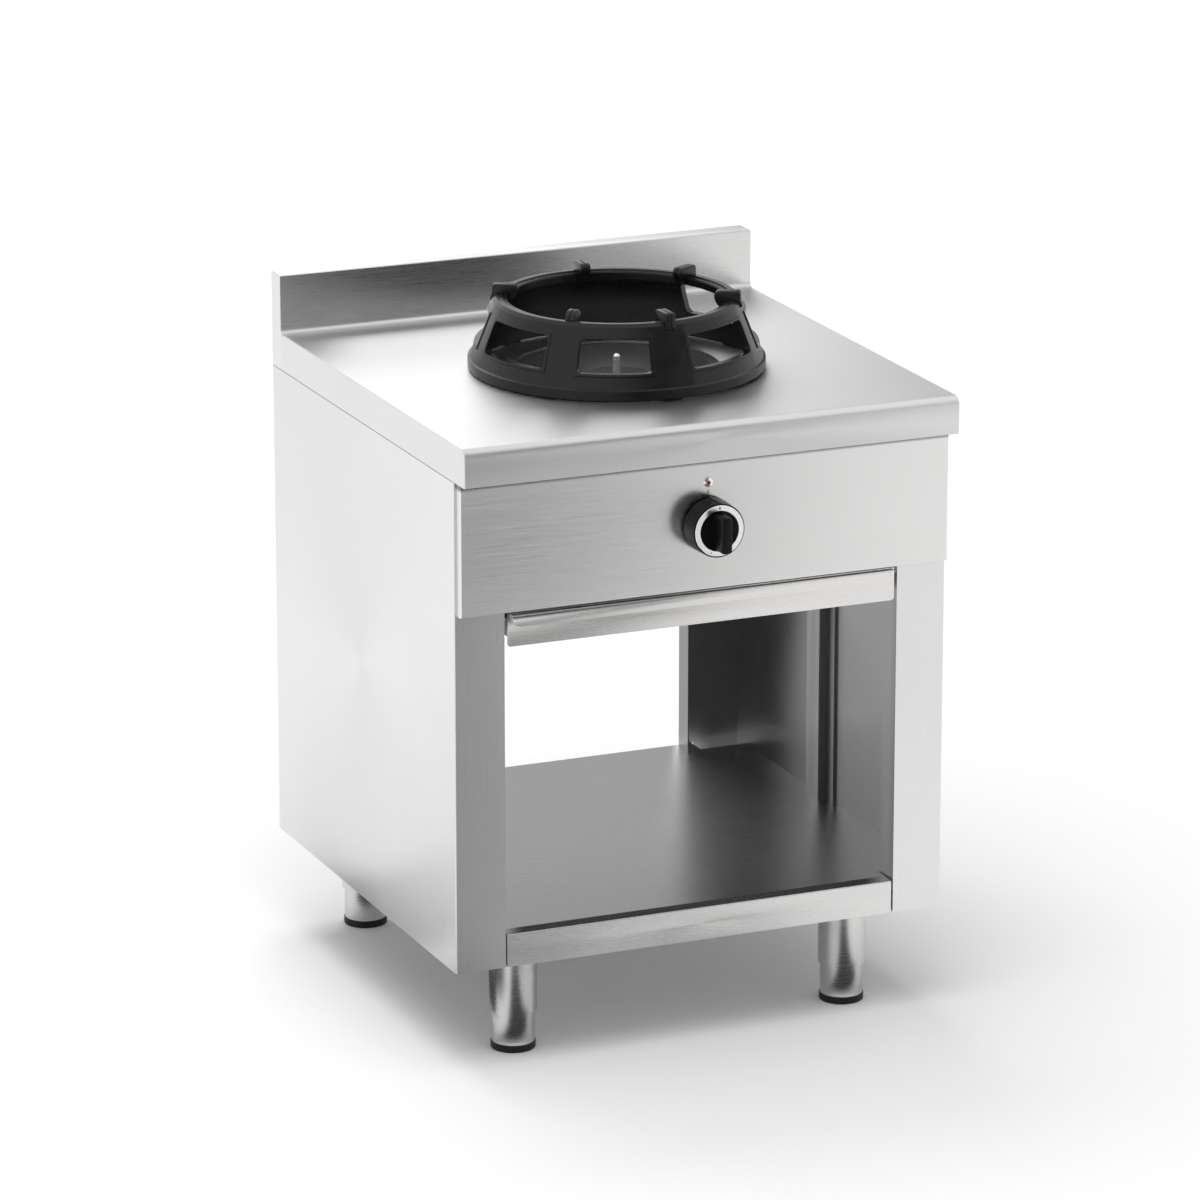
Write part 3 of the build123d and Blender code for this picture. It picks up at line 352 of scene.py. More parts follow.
def makeSmudgeGroup():
    # broad, faint unevenness of a sheet that was wiped by hand
    group, start, end = newGroup("wipedSheet", [
        ("Coords", "NodeSocketVector", None),
        ("Tone", "NodeSocketFloat", 1.0),
        ("Strength", "NodeSocketFloat", 0.02),
    ], [("Tone", "NodeSocketFloat")])
    cloud = noiseAt(group, start.outputs["Coords"], 3.0, 4, 0.5, (-600, 0))
    centred = ranged(group, cloud, -1.0, 1.0, (-400, 0))
    scaled = addNode(group, "ShaderNodeMath", (-200, 0), operation="MULTIPLY_ADD")
    group.links.new(centred, scaled.inputs[0])
    group.links.new(start.outputs["Strength"], scaled.inputs[1])
    group.links.new(start.outputs["Tone"], scaled.inputs[2])
    group.links.new(scaled.outputs[0], end.inputs["Tone"])
    return group


castSkin = {"grainScale": 620, "patchScale": 35, "pitScale": 420, "pitShare": 0.5}


def makeCastGroup():
    # pitted sand-cast skin
    group, start, end = newGroup("castSkin", [
        ("Coords", "NodeSocketVector", None),
        ("Dark", "NodeSocketFloat", 0.8),
        ("Light", "NodeSocketFloat", 1.25),
        ("Smooth", "NodeSocketFloat", 0.35),
        ("Rough", "NodeSocketFloat", 0.6),
    ], [("Tone", "NodeSocketFloat"), ("Roughness", "NodeSocketFloat"), ("Height", "NodeSocketFloat")])
    coords = start.outputs["Coords"]
    grain = noiseAt(group, coords, castSkin["grainScale"], 4, 0.65, (-600, 200))
    patches = noiseAt(group, coords, castSkin["patchScale"], 3, 0.5, (-600, 0))
    pits = addNode(group, "ShaderNodeTexVoronoi", (-600, -200))
    pits.inputs["Scale"].default_value = castSkin["pitScale"]
    group.links.new(coords, pits.inputs["Vector"])
    height = addNode(group, "ShaderNodeMath", (-400, 100), operation="MULTIPLY_ADD")
    height.inputs[1].default_value = castSkin["pitShare"]
    group.links.new(pits.outputs["Distance"], height.inputs[0])
    group.links.new(grain, height.inputs[2])
    both = addNode(group, "ShaderNodeMix", (-400, -100), data_type="FLOAT")
    both.inputs["Factor"].default_value = 0.5
    group.links.new(grain, both.inputs["A"])
    group.links.new(patches, both.inputs["B"])
    tone = ranged(group, both.outputs["Result"], start.outputs["Dark"], start.outputs["Light"], (-200, 200))
    rough = ranged(group, patches, start.outputs["Smooth"], start.outputs["Rough"], (-200, 0))
    group.links.new(tone, end.inputs["Tone"])
    group.links.new(rough, end.inputs["Roughness"])
    group.links.new(height.outputs[0], end.inputs["Height"])
    return group


grainGroup = makeGrainGroup()
smudgeGroup = makeSmudgeGroup()
castGroup = makeCastGroup()


def useGroup(tree, group, place, **values):
    item = addNode(tree, "ShaderNodeGroup", place, node_tree=group)
    for label, value in values.items():
        item.inputs[label].default_value = value
    return item


def tinted(tree, colour, tone, place):
    # the colour times a value that changes over the surface
    scaled = addNode(tree, "ShaderNodeVectorMath", place, operation="SCALE")
    scaled.inputs[0].default_value = colour
    tree.links.new(tone, scaled.inputs["Scale"])
    return scaled.outputs[0]


def bumped(tree, height, shader, strength, distance):
    bump = addNode(tree, "ShaderNodeBump", (0, -300))
    bump.inputs["Strength"].default_value = strength
    bump.inputs["Distance"].default_value = distance
    tree.links.new(height, bump.inputs["Height"])
    tree.links.new(bump.outputs[0], shader.inputs["Normal"])


# Brushed steels: colour, direction of the grain (R runs round a tube), roughness low and high, tangent axis
steels = {
    "worktop_steel": {"colour": (0.75, 0.75, 0.75), "grain": "X", "rough": (0.38, 0.5), "axis": "Y"},
    "splash_steel": {"colour": (0.74, 0.735, 0.73), "grain": "X", "rough": (0.22, 0.34), "axis": "Z"},
    "panel_steel": {"colour": (0.76, 0.755, 0.75), "grain": "X", "rough": (0.2, 0.28), "axis": "Z"},
    "side_steel": {"colour": (0.73, 0.73, 0.73), "grain": "Z", "rough": (0.26, 0.38), "axis": "X"},
    "shelf_steel": {"colour": (0.69, 0.685, 0.68), "grain": "X", "rough": (0.22, 0.3), "axis": "Y"},
    "tray_steel": {"colour": (0.71, 0.70, 0.69), "grain": "X", "rough": (0.22, 0.3), "axis": "Z"},
    "leg_steel": {"colour": (0.66, 0.655, 0.65), "grain": "R", "rough": (0.2, 0.3), "axis": "Z"},
}
# Brushed lines: length and width in metres, tones, strength and depth of their relief
grainSize = {"length": 0.12, "width": 0.0009, "dark": 0.955, "light": 1.02, "bump": 0.025, "depth": 0.0002}
grainAnisotropy = 0.65

# Painted shadow in the seam below the worktop's apron, multiplied into the base colour: heights where it
# starts and is full, and its darkest tone
paintedSeamShadows = {"panel_steel": (0.7945, 0.7985, 0.3), "side_steel": (0.8042, 0.8052, 0.3)}


# painted shadow: darkens the colour in a band of heights below the worktop's apron
def paintedSeamShadow(tree, coords, tone, seam):
    low, high, darkest = seam
    split = addNode(tree, "ShaderNodeSeparateXYZ", (-900, -300))
    tree.links.new(coords, split.inputs[0])
    shade = ranged(tree, split.outputs[2], 1.0, darkest, (-700, -300), low, high)
    both = addNode(tree, "ShaderNodeMath", (-500, -200), operation="MULTIPLY")
    tree.links.new(tone, both.inputs[0])
    tree.links.new(shade, both.inputs[1])
    return both.outputs[0]


def brushedSteel(name, colour, grain, rough, axis):
    material, tree, output = newMaterial(name)
    long, fine = 1 / grainSize["length"], 1 / grainSize["width"]
    scale = {"X": (long, fine, fine), "Z": (fine, fine, long), "R": (long, long, fine)}[grain]
    coords = addNode(tree, "ShaderNodeTexCoord", (-1200, 0))
    mapping = addNode(tree, "ShaderNodeMapping", (-1000, 0))
    mapping.inputs["Scale"].default_value = scale
    tree.links.new(coords.outputs["Object"], mapping.inputs["Vector"])
    lines = useGroup(tree, grainGroup, (-800, 0), Dark=grainSize["dark"], Light=grainSize["light"],
                     Smooth=rough[0], Rough=rough[1])
    tree.links.new(mapping.outputs[0], lines.inputs["Coords"])
    wiped = useGroup(tree, smudgeGroup, (-600, 0))
    tree.links.new(coords.outputs["Object"], wiped.inputs["Coords"])
    tree.links.new(lines.outputs["Tone"], wiped.inputs["Tone"])
    shader = addNode(tree, "ShaderNodeBsdfPrincipled", (300, 0))
    shader.inputs["Metallic"].default_value = 1
    shader.inputs["Anisotropic"].default_value = grainAnisotropy
    tone = wiped.outputs["Tone"]
    # painted shadow in the seam below the worktop's apron darkens the base colour
    if name in paintedSeamShadows:
        tone = paintedSeamShadow(tree, coords.outputs["Object"], tone, paintedSeamShadows[name])
    tree.links.new(tinted(tree, colour, tone, (-300, 0)), shader.inputs["Base Color"])
    tree.links.new(lines.outputs["Roughness"], shader.inputs["Roughness"])
    tangent = addNode(tree, "ShaderNodeTangent", (0, -500), direction_type="RADIAL", axis=axis)
    tree.links.new(tangent.outputs[0], shader.inputs["Tangent"])
    bumped(tree, lines.outputs["Height"], shader, grainSize["bump"], grainSize["depth"])
    tree.links.new(shader.outputs[0], output.inputs[0])
    return material


# Other finishes: colour, metallic, roughness low and high, bump
skins = {
    "cast_iron": {"colour": (0.006, 0.006, 0.0064), "metal": 0.0, "rough": (0.24, 0.34), "bump": 0.14},
    "burner_iron": {"colour": (0.03, 0.03, 0.031), "metal": 0.0, "rough": (0.5, 0.7), "bump": 0.4},
    "bowl_enamel": {"colour": (0.06, 0.06, 0.062), "metal": 0.4, "rough": (0.2, 0.26), "bump": 0.0},
    "galvanised_steel": {"colour": (0.5, 0.51, 0.52), "metal": 1.0, "rough": (0.35, 0.5), "bump": 0.1},
    "pipe_steel": {"colour": (0.5, 0.5, 0.5), "metal": 1.0, "rough": (0.3, 0.42), "bump": 0.08},
    "spring_steel": {"colour": (0.45, 0.45, 0.45), "metal": 1.0, "rough": (0.25, 0.35), "bump": 0.05},
    "screw_steel": {"colour": (0.65, 0.65, 0.65), "metal": 1.0, "rough": (0.2, 0.3), "bump": 0.03},
    "satin_metal": {"colour": (0.9, 0.9, 0.9), "metal": 1.0, "rough": (0.16, 0.24), "bump": 0.03},
    "brass": {"colour": (0.72, 0.55, 0.28), "metal": 1.0, "rough": (0.25, 0.36), "bump": 0.05},
    "copper": {"colour": (0.75, 0.42, 0.3), "metal": 1.0, "rough": (0.22, 0.34), "bump": 0.04},
    "bright_chrome": {"colour": (0.88, 0.88, 0.89), "metal": 0.75, "rough": (0.09, 0.15), "bump": 0.01},
    "knob_black": {"colour": (0.006, 0.006, 0.0065), "metal": 0.0, "rough": (0.26, 0.34), "bump": 0.04},
    "insert_black": {"colour": (0.02, 0.02, 0.02), "metal": 0.0, "rough": (0.5, 0.6), "bump": 0.05},
    "index_red": {"colour": (0.42, 0.006, 0.008), "metal": 0.0, "rough": (0.12, 0.2), "bump": 0.01},
    "pad_rubber": {"colour": (0.012, 0.012, 0.012), "metal": 0.0, "rough": (0.45, 0.6), "bump": 0.15},
}
skinDepth = 0.0003
skinGloss = {"cast_iron": 0.33, "knob_black": 0.14, "insert_black": 0.2, "pad_rubber": 0.3}
plainGloss = 0.5
castTone, smoothTone = (0.8, 1.25), (0.95, 1.05)  # darkest and lightest share of the colour


def grainedSkin(name, colour, metal, rough, bump):
    material, tree, output = newMaterial(name)
    coords = addNode(tree, "ShaderNodeTexCoord", (-1200, 0))
    dark, light = castTone if "iron" in name else smoothTone
    skin = useGroup(tree, castGroup, (-800, 0), Dark=dark, Light=light, Smooth=rough[0], Rough=rough[1])
    tree.links.new(coords.outputs["Object"], skin.inputs["Coords"])
    shader = addNode(tree, "ShaderNodeBsdfPrincipled", (300, 0))
    shader.inputs["Metallic"].default_value = metal
    shader.inputs["Specular IOR Level"].default_value = skinGloss.get(name, plainGloss)
    tree.links.new(tinted(tree, colour, skin.outputs["Tone"], (-400, 0)), shader.inputs["Base Color"])
    tree.links.new(skin.outputs["Roughness"], shader.inputs["Roughness"])
    bumped(tree, skin.outputs["Height"], shader, bump, skinDepth)
    tree.links.new(shader.outputs[0], output.inputs[0])
    return material


finishes = {name: brushedSteel(name, **values) for name, values in steels.items()}
finishes.update({name: grainedSkin(name, **values) for name, values in skins.items()})
slotOf = {part["node"]: part["material_slot"] for part in frame["record"]["subparts"]}
for name, item in frame["nodes"].items():
    item.data.materials.clear()
    item.data.materials.append(finishes[slotOf[name]])
print("finishes made:", len(finishes))


# Modelled pieces

def finishPiece(name, form, slot, body, nodes, sharp=30):
    # turns a bmesh into a smooth-shaded piece that rides on its body and stands for its CAD nodes
    mesh = bpy.data.meshes.new(name)
    form.to_mesh(mesh)
    form.free()
    mesh.shade_smooth()
    mesh.set_sharp_from_angle(angle=math.radians(sharp))
    piece = bpy.data.objects.new(name, mesh)
    scene.collection.objects.link(piece)
    mesh.materials.append(finishes[slot])
    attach(piece, body)
    if nodes:
        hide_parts(*nodes)
    return piece


def addBevel(piece, width, segments, angle):
    bevel = piece.modifiers.new("edges", "BEVEL")
    bevel.width = width
    bevel.segments = segments
    bevel.limit_method = "ANGLE"
    bevel.angle_limit = math.radians(angle)


def addSubdivision(piece, levels):
    smooth = piece.modifiers.new("smooth", "SUBSURF")
    smooth.levels = levels
    smooth.render_levels = levels


def outlineFace(form, points):
    # one flat face from a few corner points
    corners = [form.verts.new(point) for point in points]
    form.faces.new(corners)
    return corners


def roundCorners(form, corners, reach, segments):
    bmesh.ops.bevel(form, geom=corners, offset=reach, offset_type="OFFSET", segments=segments,
                    profile=0.5, affect="VERTICES", material=-1)


def bevelSharp(form, reach, segments, angle):
    sharp = math.radians(angle)
    edges = [edge for edge in form.edges if edge.is_manifold and edge.calc_face_angle() > sharp]
    bmesh.ops.bevel(form, geom=edges, offset=reach, offset_type="OFFSET", segments=segments,
                    profile=0.5, affect="EDGES", clamp_overlap=True, material=-1)


def thicken(form, faces, shift):
    # pulls flat faces along a vector into a closed block
    pulled = bmesh.ops.extrude_face_region(form, geom=faces)
    verts = [item for item in pulled["geom"] if isinstance(item, bmesh.types.BMVert)]
    bmesh.ops.translate(form, verts=verts, vec=shift)
    bmesh.ops.recalc_face_normals(form, faces=form.faces)


# Wok ring: a cast cone with a stepped rim, framed windows, fins for the wok and small feet

ringLow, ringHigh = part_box("wok_ring")
wokRing = {
    "wall": 0.009,
    "foot": 0.0015,
    "edge": 0.002,
    "baseHeight": 0.017,
    "crease": 0.003,
    "topRadius": 0.164,
    "rimInner": 0.145,
    "rimStep": 0.1525,
    "stepDrop": 0.0022,
    "rimDepth": 0.013,
    "windowLow": 0.036,
    "windowHigh": 0.079,
    "frame": 0.0035,
    "frameRise": 0.0014,
    "frameSlope": 0.0006,
    "corner": 0.0065,
    "cornerSteps": 4,
    "cornerAngle": 50,  # walls of an opening that meet at more are rounded
    "openingSlack": 2,  # degrees beyond a window in which its rims are looked for
    "windowSteps": 6,
    "gapStep": 7,  # degrees, roughly, of one face between two windows
    "rounding": 0.0009,
    "finRise": 0.012,
    # middle and width of each window in degrees, seen from above and counted from +X
    "windows": ((20, 30), (152, 32), (197.5, 37), (246, 31), (298, 38), (344, 32)),
    "finTurns": (29, 85, 150, 272, 329),
    "shortFinTurn": 223,
}
ringBase = (ringHigh[0] - ringLow[0]) / 2
ringMiddle = Vector(((ringLow[0] + ringHigh[0]) / 2, (ringLow[1] + ringHigh[1]) / 2, ringLow[2]))
rimTop = ringHigh[2] - ringLow[2] - wokRing["finRise"]


def coneRadius(height):
    share = (height - wokRing["baseHeight"]) / (rimTop - wokRing["baseHeight"])
    foot = ringBase - wokRing["crease"]
    return foot + share * (wokRing["topRadius"] - foot)


def ringProfile():
    # corners of the ring's section as radius and height, from the inside of the foot round to the inside again
    ring = wokRing
    low, high, frame, wall = ring["windowLow"], ring["windowHigh"], ring["frame"], ring["wall"]
    foot, edge, crease, base = ring["foot"], ring["edge"], ring["crease"], ring["baseHeight"]
    innerFoot = ringBase - crease - wall
    stepTop = rimTop - ring["stepDrop"]
    return [
        (innerFoot, foot),
        (ringBase - edge, foot),
        (ringBase, foot + edge),
        (ringBase, base - crease / 2),
        (ringBase - crease, base),
        *[(coneRadius(height), height) for height in (low - frame, low, high, high + frame)],
        (ring["topRadius"] + edge / 2, rimTop - 2 * edge),
        (ring["topRadius"] - 2 * edge, rimTop),
        (ring["rimStep"], rimTop),
        (ring["rimStep"] - edge / 2, stepTop),
        (ring["rimInner"] + edge / 2, stepTop),
        (ring["rimInner"], stepTop - edge),
        (ring["rimInner"], rimTop - ring["rimDepth"]),
        (coneRadius(high) - wall, high),
        (coneRadius(low) - wall, low),
        (innerFoot, base),
    ]


def ringSectors():
    # spans round the ring: window, frame, gap, frame and so on, each with its number of steps
    frameTurn = math.degrees(wokRing["frame"] / coneRadius(wokRing["windowLow"]))
    windows = wokRing["windows"]
    spans = []
    for index, (middle, span) in enumerate(windows):
        nextMiddle, nextSpan = windows[(index + 1) % len(windows)]
        gap = (nextMiddle - nextSpan / 2 - middle - span / 2) % 360 - 2 * frameTurn
        gapSteps = max(2, round(gap / wokRing["gapStep"]))
        spans += [(span, wokRing["windowSteps"]), (frameTurn, 1), (gap, gapSteps), (frameTurn, 1)]
    return spans


def turnOf(centre):
    return math.degrees(math.atan2(centre.y, centre.x))


def turnBetween(turn, middle):
    return abs((turn - middle + 180) % 360 - 180)


def inWindow(face, grow):
    # grow is 0 for a window's own faces, 1 for its frame as well
    centre = face.calc_center_median() - ringMiddle
    reach = wokRing["frame"] * grow
    if not wokRing["windowLow"] - reach < centre.z < wokRing["windowHigh"] + reach:
        return False
    spread = math.degrees(reach / coneRadius(centre.z))
    return any(turnBetween(turnOf(centre), middle) < span / 2 + spread for middle, span in wokRing["windows"])


def isOutside(face):
    centre = face.calc_center_median() - ringMiddle
    return centre.xy.length > coneRadius(centre.z) - wokRing["wall"] / 2


def spinRing(form):
    middle, span = wokRing["windows"][0]
    turn = Matrix.Rotation(math.radians(middle - span / 2), 3, "Z")
    points = [form.verts.new(ringMiddle + turn @ Vector((radius, 0, height)))
              for radius, height in ringProfile()]
    edges = [form.edges.new(pair) for pair in zip(points, points[1:] + points[:1])]
    geom = points + edges
    for sweep, steps in ringSectors():
        made = bmesh.ops.spin(form, geom=geom, cent=ringMiddle, axis=(0, 0, 1), angle=math.radians(sweep),
                              steps=steps, use_merge=False, use_duplicate=False)
        geom = made["geom_last"]
    bmesh.ops.remove_doubles(form, verts=form.verts, dist=1e-5)
    bmesh.ops.recalc_face_normals(form, faces=form.faces)


def wallWindow(form, middle, span):
    # joins the outer and the inner edge of one opening and rounds its four corners
    rims = []
    reach = span / 2 + wokRing["openingSlack"]
    for edge in form.edges:
        centre = (edge.verts[0].co + edge.verts[1].co) / 2 - ringMiddle
        if edge.is_boundary and turnBetween(turnOf(centre), middle) < reach:
            rims.append(edge)
    tunnel = bmesh.ops.bridge_loops(form, edges=rims)
    walls = set(tunnel["faces"])
    corners = [edge for edge in form.edges if len(edge.link_faces) == 2 and set(edge.link_faces) <= walls
               and edge.calc_face_angle() > math.radians(wokRing["cornerAngle"])]
    bmesh.ops.bevel(form, geom=corners, offset=wokRing["corner"], offset_type="OFFSET",
                    segments=wokRing["cornerSteps"], profile=0.5, affect="EDGES", clamp_overlap=True,
                    material=-1)


def makeRingForm():
    form = bmesh.new()
    spinRing(form)
    framed = [face for face in form.faces if inWindow(face, 1) and isOutside(face)]
    bmesh.ops.inset_region(form, faces=framed, thickness=wokRing["frameSlope"], depth=wokRing["frameRise"],
                           use_even_offset=True)
    opened = [face for face in form.faces if inWindow(face, 0)]
    bmesh.ops.delete(form, geom=opened, context="FACES")
    for middle, span in wokRing["windows"]:
        wallWindow(form, middle, span)
    bmesh.ops.recalc_face_normals(form, faces=form.faces)
    return form


fin = {
    "width": 0.014,
    "reach": 0.033,  # from the ring's top edge inwards
    "proud": 0.0025,
    "hook": 0.0095,
    "rib": 0.003,
    "tip": 0.0075,
    "shoulder": 0.005,
    "hookRound": 0.004,
    "groove": 0.002,
    "grooveDepth": 0.0011,
    "grooveSlope": 0.0004,
    "edge": 0.0015,
    "shortOuter": 0.006,
    "noseShare": 0.98,  # of the tip, so that the two rounds of the nose don't meet
    "backShare": 0.9,
    "roundSteps": 6,
}


def finOutline(short):
    # corners of a fin in the ring's radius and height, and the reach of the round on each
    ring = wokRing
    inner = ring["topRadius"] - fin["reach"]
    top = rimTop + ring["finRise"]
    hookLow = rimTop - fin["hook"]
    noseRound = fin["tip"] * fin["noseShare"]
    nose = [((inner, top), noseRound), ((inner, top - 2 * fin["tip"]), noseRound)]
    if short:
        outer = inner + 2 * fin["tip"] + fin["shortOuter"]
        return [((outer, rimTop - ring["rimDepth"]), 0), ((outer, top - fin["tip"]), 0),
                ((outer - fin["shortOuter"], top), fin["tip"] * fin["backShare"])] + nose
    outer = ring["topRadius"] + fin["proud"]
    return [((coneRadius(hookLow) + fin["proud"], hookLow), fin["hookRound"]), ((outer, rimTop), 0),
            ((outer, top), fin["shoulder"])] + nose + [
                ((ring["rimInner"] - fin["rib"], rimTop - ring["rimDepth"]), 0),
                ((ring["rimInner"] + fin["tip"], hookLow - fin["rib"]), 0)]


def makeFinMesh(short):
    # outline in the XZ plane, then thickened; the groove runs all round its middle
    form = bmesh.new()
    outline = finOutline(short)
    corners = outlineFace(form, [Vector((x, -fin["width"] / 2, z)) for (x, z), reach in outline])
    for corner, reach in zip(corners, [reach for place, reach in outline]):
        if reach:
            roundCorners(form, [corner], reach, fin["roundSteps"])
    thicken(form, form.faces[:], (0, fin["width"], 0))
    half = fin["groove"] / 2
    for side in (-half, half):
        bmesh.ops.bisect_plane(form, geom=form.verts[:] + form.edges[:] + form.faces[:],
                               plane_co=(0, side, 0), plane_no=(0, 1, 0))
    bevelSharp(form, fin["edge"], 3, 40)
    band = [face for face in form.faces if abs(face.calc_center_median().y) < half]
    bmesh.ops.inset_region(form, faces=band, thickness=fin["grooveSlope"], depth=-fin["grooveDepth"],
                           use_even_offset=True)
    mesh = bpy.data.meshes.new("fin")
    form.to_mesh(mesh)
    form.free()
    return mesh


def addFin(form, mesh, turn):
    start = len(form.verts)
    form.from_mesh(mesh)
    form.verts.ensure_lookup_table()
    spin = Matrix.Translation(ringMiddle) @ Matrix.Rotation(math.radians(turn), 4, "Z")
    bmesh.ops.transform(form, matrix=spin, verts=form.verts[start:])


def makeFins():
    form = bmesh.new()
    whole, short = makeFinMesh(False), makeFinMesh(True)
    for turn in wokRing["finTurns"]:
        addFin(form, whole, turn)
    addFin(form, short, wokRing["shortFinTurn"])
    bpy.data.meshes.remove(whole)
    bpy.data.meshes.remove(short)
    return form


ringFeet = {"count": 7, "firstTurn": 12, "length": 0.026, "height": 0.002, "edge": 0.0004}


def makeRingFeet():
    form = bmesh.new()
    feet, wall = ringFeet, wokRing["wall"]
    for index in range(feet["count"]):
        turn = Matrix.Rotation(math.radians(360 / feet["count"] * index + feet["firstTurn"]), 4, "Z")
        out = Matrix.Translation((ringBase - wall, 0, feet["height"] / 2))
        size = Matrix.Diagonal((wall, feet["length"], feet["height"], 1))
        bmesh.ops.create_cube(form, size=1, matrix=Matrix.Translation(ringMiddle) @ turn @ out @ size)
    bevelSharp(form, feet["edge"], 2, 40)
    return form


def makeWokRing():
    ring = finishPiece("wokRing", makeRingForm(), "cast_iron", "wok_ring", ["wok_ring"], sharp=50)
    addBevel(ring, wokRing["rounding"], 2, 24)
    addSubdivision(ring, 1)
    finishPiece("wokRingFins", makeFins(), "cast_iron", "wok_ring", ["wok_ring"], sharp=40)
    finishPiece("wokRingFeet", makeRingFeet(), "cast_iron", "wok_ring", ["wok_ring"])


makeWokRing()
print("wok ring made")


# Drip tray: plate with rounded lower corners, folded lip with rounded ends, and the pan behind

trayLow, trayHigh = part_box("drip_tray")
dripTray = {
    "sheet": 0.0015,
    "panSheet": 0.0012,
    "corner": 0.005,
    "cutEdge": 0.0003,
    "plateBack": 0.012,
    "lipOut": 0.009,
    "lipDown": 0.0135,
    "lipRoll": 0.003,
    "rollEnd": (0.1, 0.4),  # last part of the roll, out and down, as shares of it
    "lipSlant": 0.001,
    "lipInset": 0.004,
    "lipRound": 0.012,
    "panInset": 0.008,
    "panTopDrop": 0.005,
    "panDepth": 0.03,
    "panCorner": 0.004,
}


def trayFront():
    # the plate stands behind the lip, at the front of the posts
    return trayLow[1] + dripTray["plateBack"]


def addSheet(form, thickness):
    bmesh.ops.recalc_face_normals(form, faces=form.faces)
    bmesh.ops.solidify(form, geom=form.faces[:], thickness=thickness)
    bmesh.ops.recalc_face_normals(form, faces=form.faces)


def makeTrayPlate():
    tray, y = dripTray, trayFront()
    form = bmesh.new()
    low, high = Vector(trayLow), Vector(trayHigh)
    corners = outlineFace(form, [(low.x, y, low.z), (high.x, y, low.z), (high.x, y, high.z),
                                 (low.x, y, high.z)])
    roundCorners(form, corners[:2], tray["corner"], 5)
    thicken(form, form.faces[:], (0, tray["sheet"], 0))
    bevelSharp(form, tray["cutEdge"], 2, 40)
    return form


def rollPoint(roll, turn):
    # place on the lip's roll after a turn in degrees, outwards and down from where the roll starts
    return Vector((-roll * math.sin(math.radians(turn)), -roll * (1 - math.cos(math.radians(turn)))))


def makeTrayLip():
    # sheet folded out at the top of the plate and down again
    tray, y = dripTray, trayFront()
    form = bmesh.new()
    left, right = trayLow[0] + tray["lipInset"], trayHigh[0] - tray["lipInset"]
    top = trayHigh[2] - tray["sheet"] / 2
    start = [form.verts.new((x, y + tray["sheet"] / 2, top)) for x in (left, right)]
    last = form.edges.new(start)
    roll, (endOut, endDown) = tray["lipRoll"], tray["rollEnd"]
    first, second = rollPoint(roll, 30), rollPoint(roll, 60)
    steps = [(-tray["lipOut"] + roll, 0), first, second - first, (-roll * endOut, -roll * endDown),
             (-tray["lipSlant"], -tray["lipDown"])]
    for out, down in steps:
        pulled = bmesh.ops.extrude_edge_only(form, edges=[last])
        verts = [item for item in pulled["geom"] if isinstance(item, bmesh.types.BMVert)]
        last = [item for item in pulled["geom"] if isinstance(item, bmesh.types.BMEdge)
                and set(item.verts) == set(verts)][0]
        bmesh.ops.translate(form, verts=verts, vec=(0, out, down))
    roundCorners(form, list(last.verts), tray["lipRound"], 6)
    addSheet(form, tray["sheet"])
    bevelSharp(form, tray["cutEdge"], 2, 50)
    return form


def makeTrayPan():
    tray, y = dripTray, trayFront()
    form = bmesh.new()
    low = Vector((trayLow[0] + tray["panInset"], y + tray["sheet"], 0))
    high = Vector((trayHigh[0] - tray["panInset"], trayHigh[1], trayHigh[2] - tray["panTopDrop"]))
    low.z = high.z - tray["panDepth"]
    size = high - low
    place = Matrix.Translation((low + high) / 2) @ Matrix.Diagonal((size.x, size.y, size.z, 1))
    bmesh.ops.create_cube(form, size=1, matrix=place)
    lids = [face for face in form.faces if face.normal.z > 0.9]
    bmesh.ops.delete(form, geom=lids, context="FACES_ONLY")
    sides = [edge for edge in form.edges
             if edge.is_boundary and abs(edge.verts[0].co.x - edge.verts[1].co.x) < 1e-6]
    for edge in sides:
        side = 1 if edge.verts[0].co.x > 0 else -1
        pulled = bmesh.ops.extrude_edge_only(form, edges=[edge])
        verts = [item for item in pulled["geom"] if isinstance(item, bmesh.types.BMVert)]
        bmesh.ops.translate(form, verts=verts, vec=(side * tray["panInset"], 0, 0))
    upright = [edge for edge in form.edges if abs(edge.verts[0].co.z - edge.verts[1].co.z) > 0.01]
    bmesh.ops.bevel(form, geom=upright, offset=tray["panCorner"], offset_type="OFFSET", segments=4,
                    profile=0.5, affect="EDGES", clamp_overlap=True, material=-1)
    addSheet(form, tray["panSheet"])
    return form


def makeDripTray():
    finishPiece("trayPlate", makeTrayPlate(), "tray_steel", "drip_tray", ["drip_tray"])
    finishPiece("trayLip", makeTrayLip(), "tray_steel", "drip_tray", ["drip_tray"])
    finishPiece("trayPan", makeTrayPan(), "tray_steel", "drip_tray", ["drip_tray"])


makeDripTray()
print("drip tray made")


# Knob: skirt, recessed face and grip in one moulding, and the metal ring with its marks

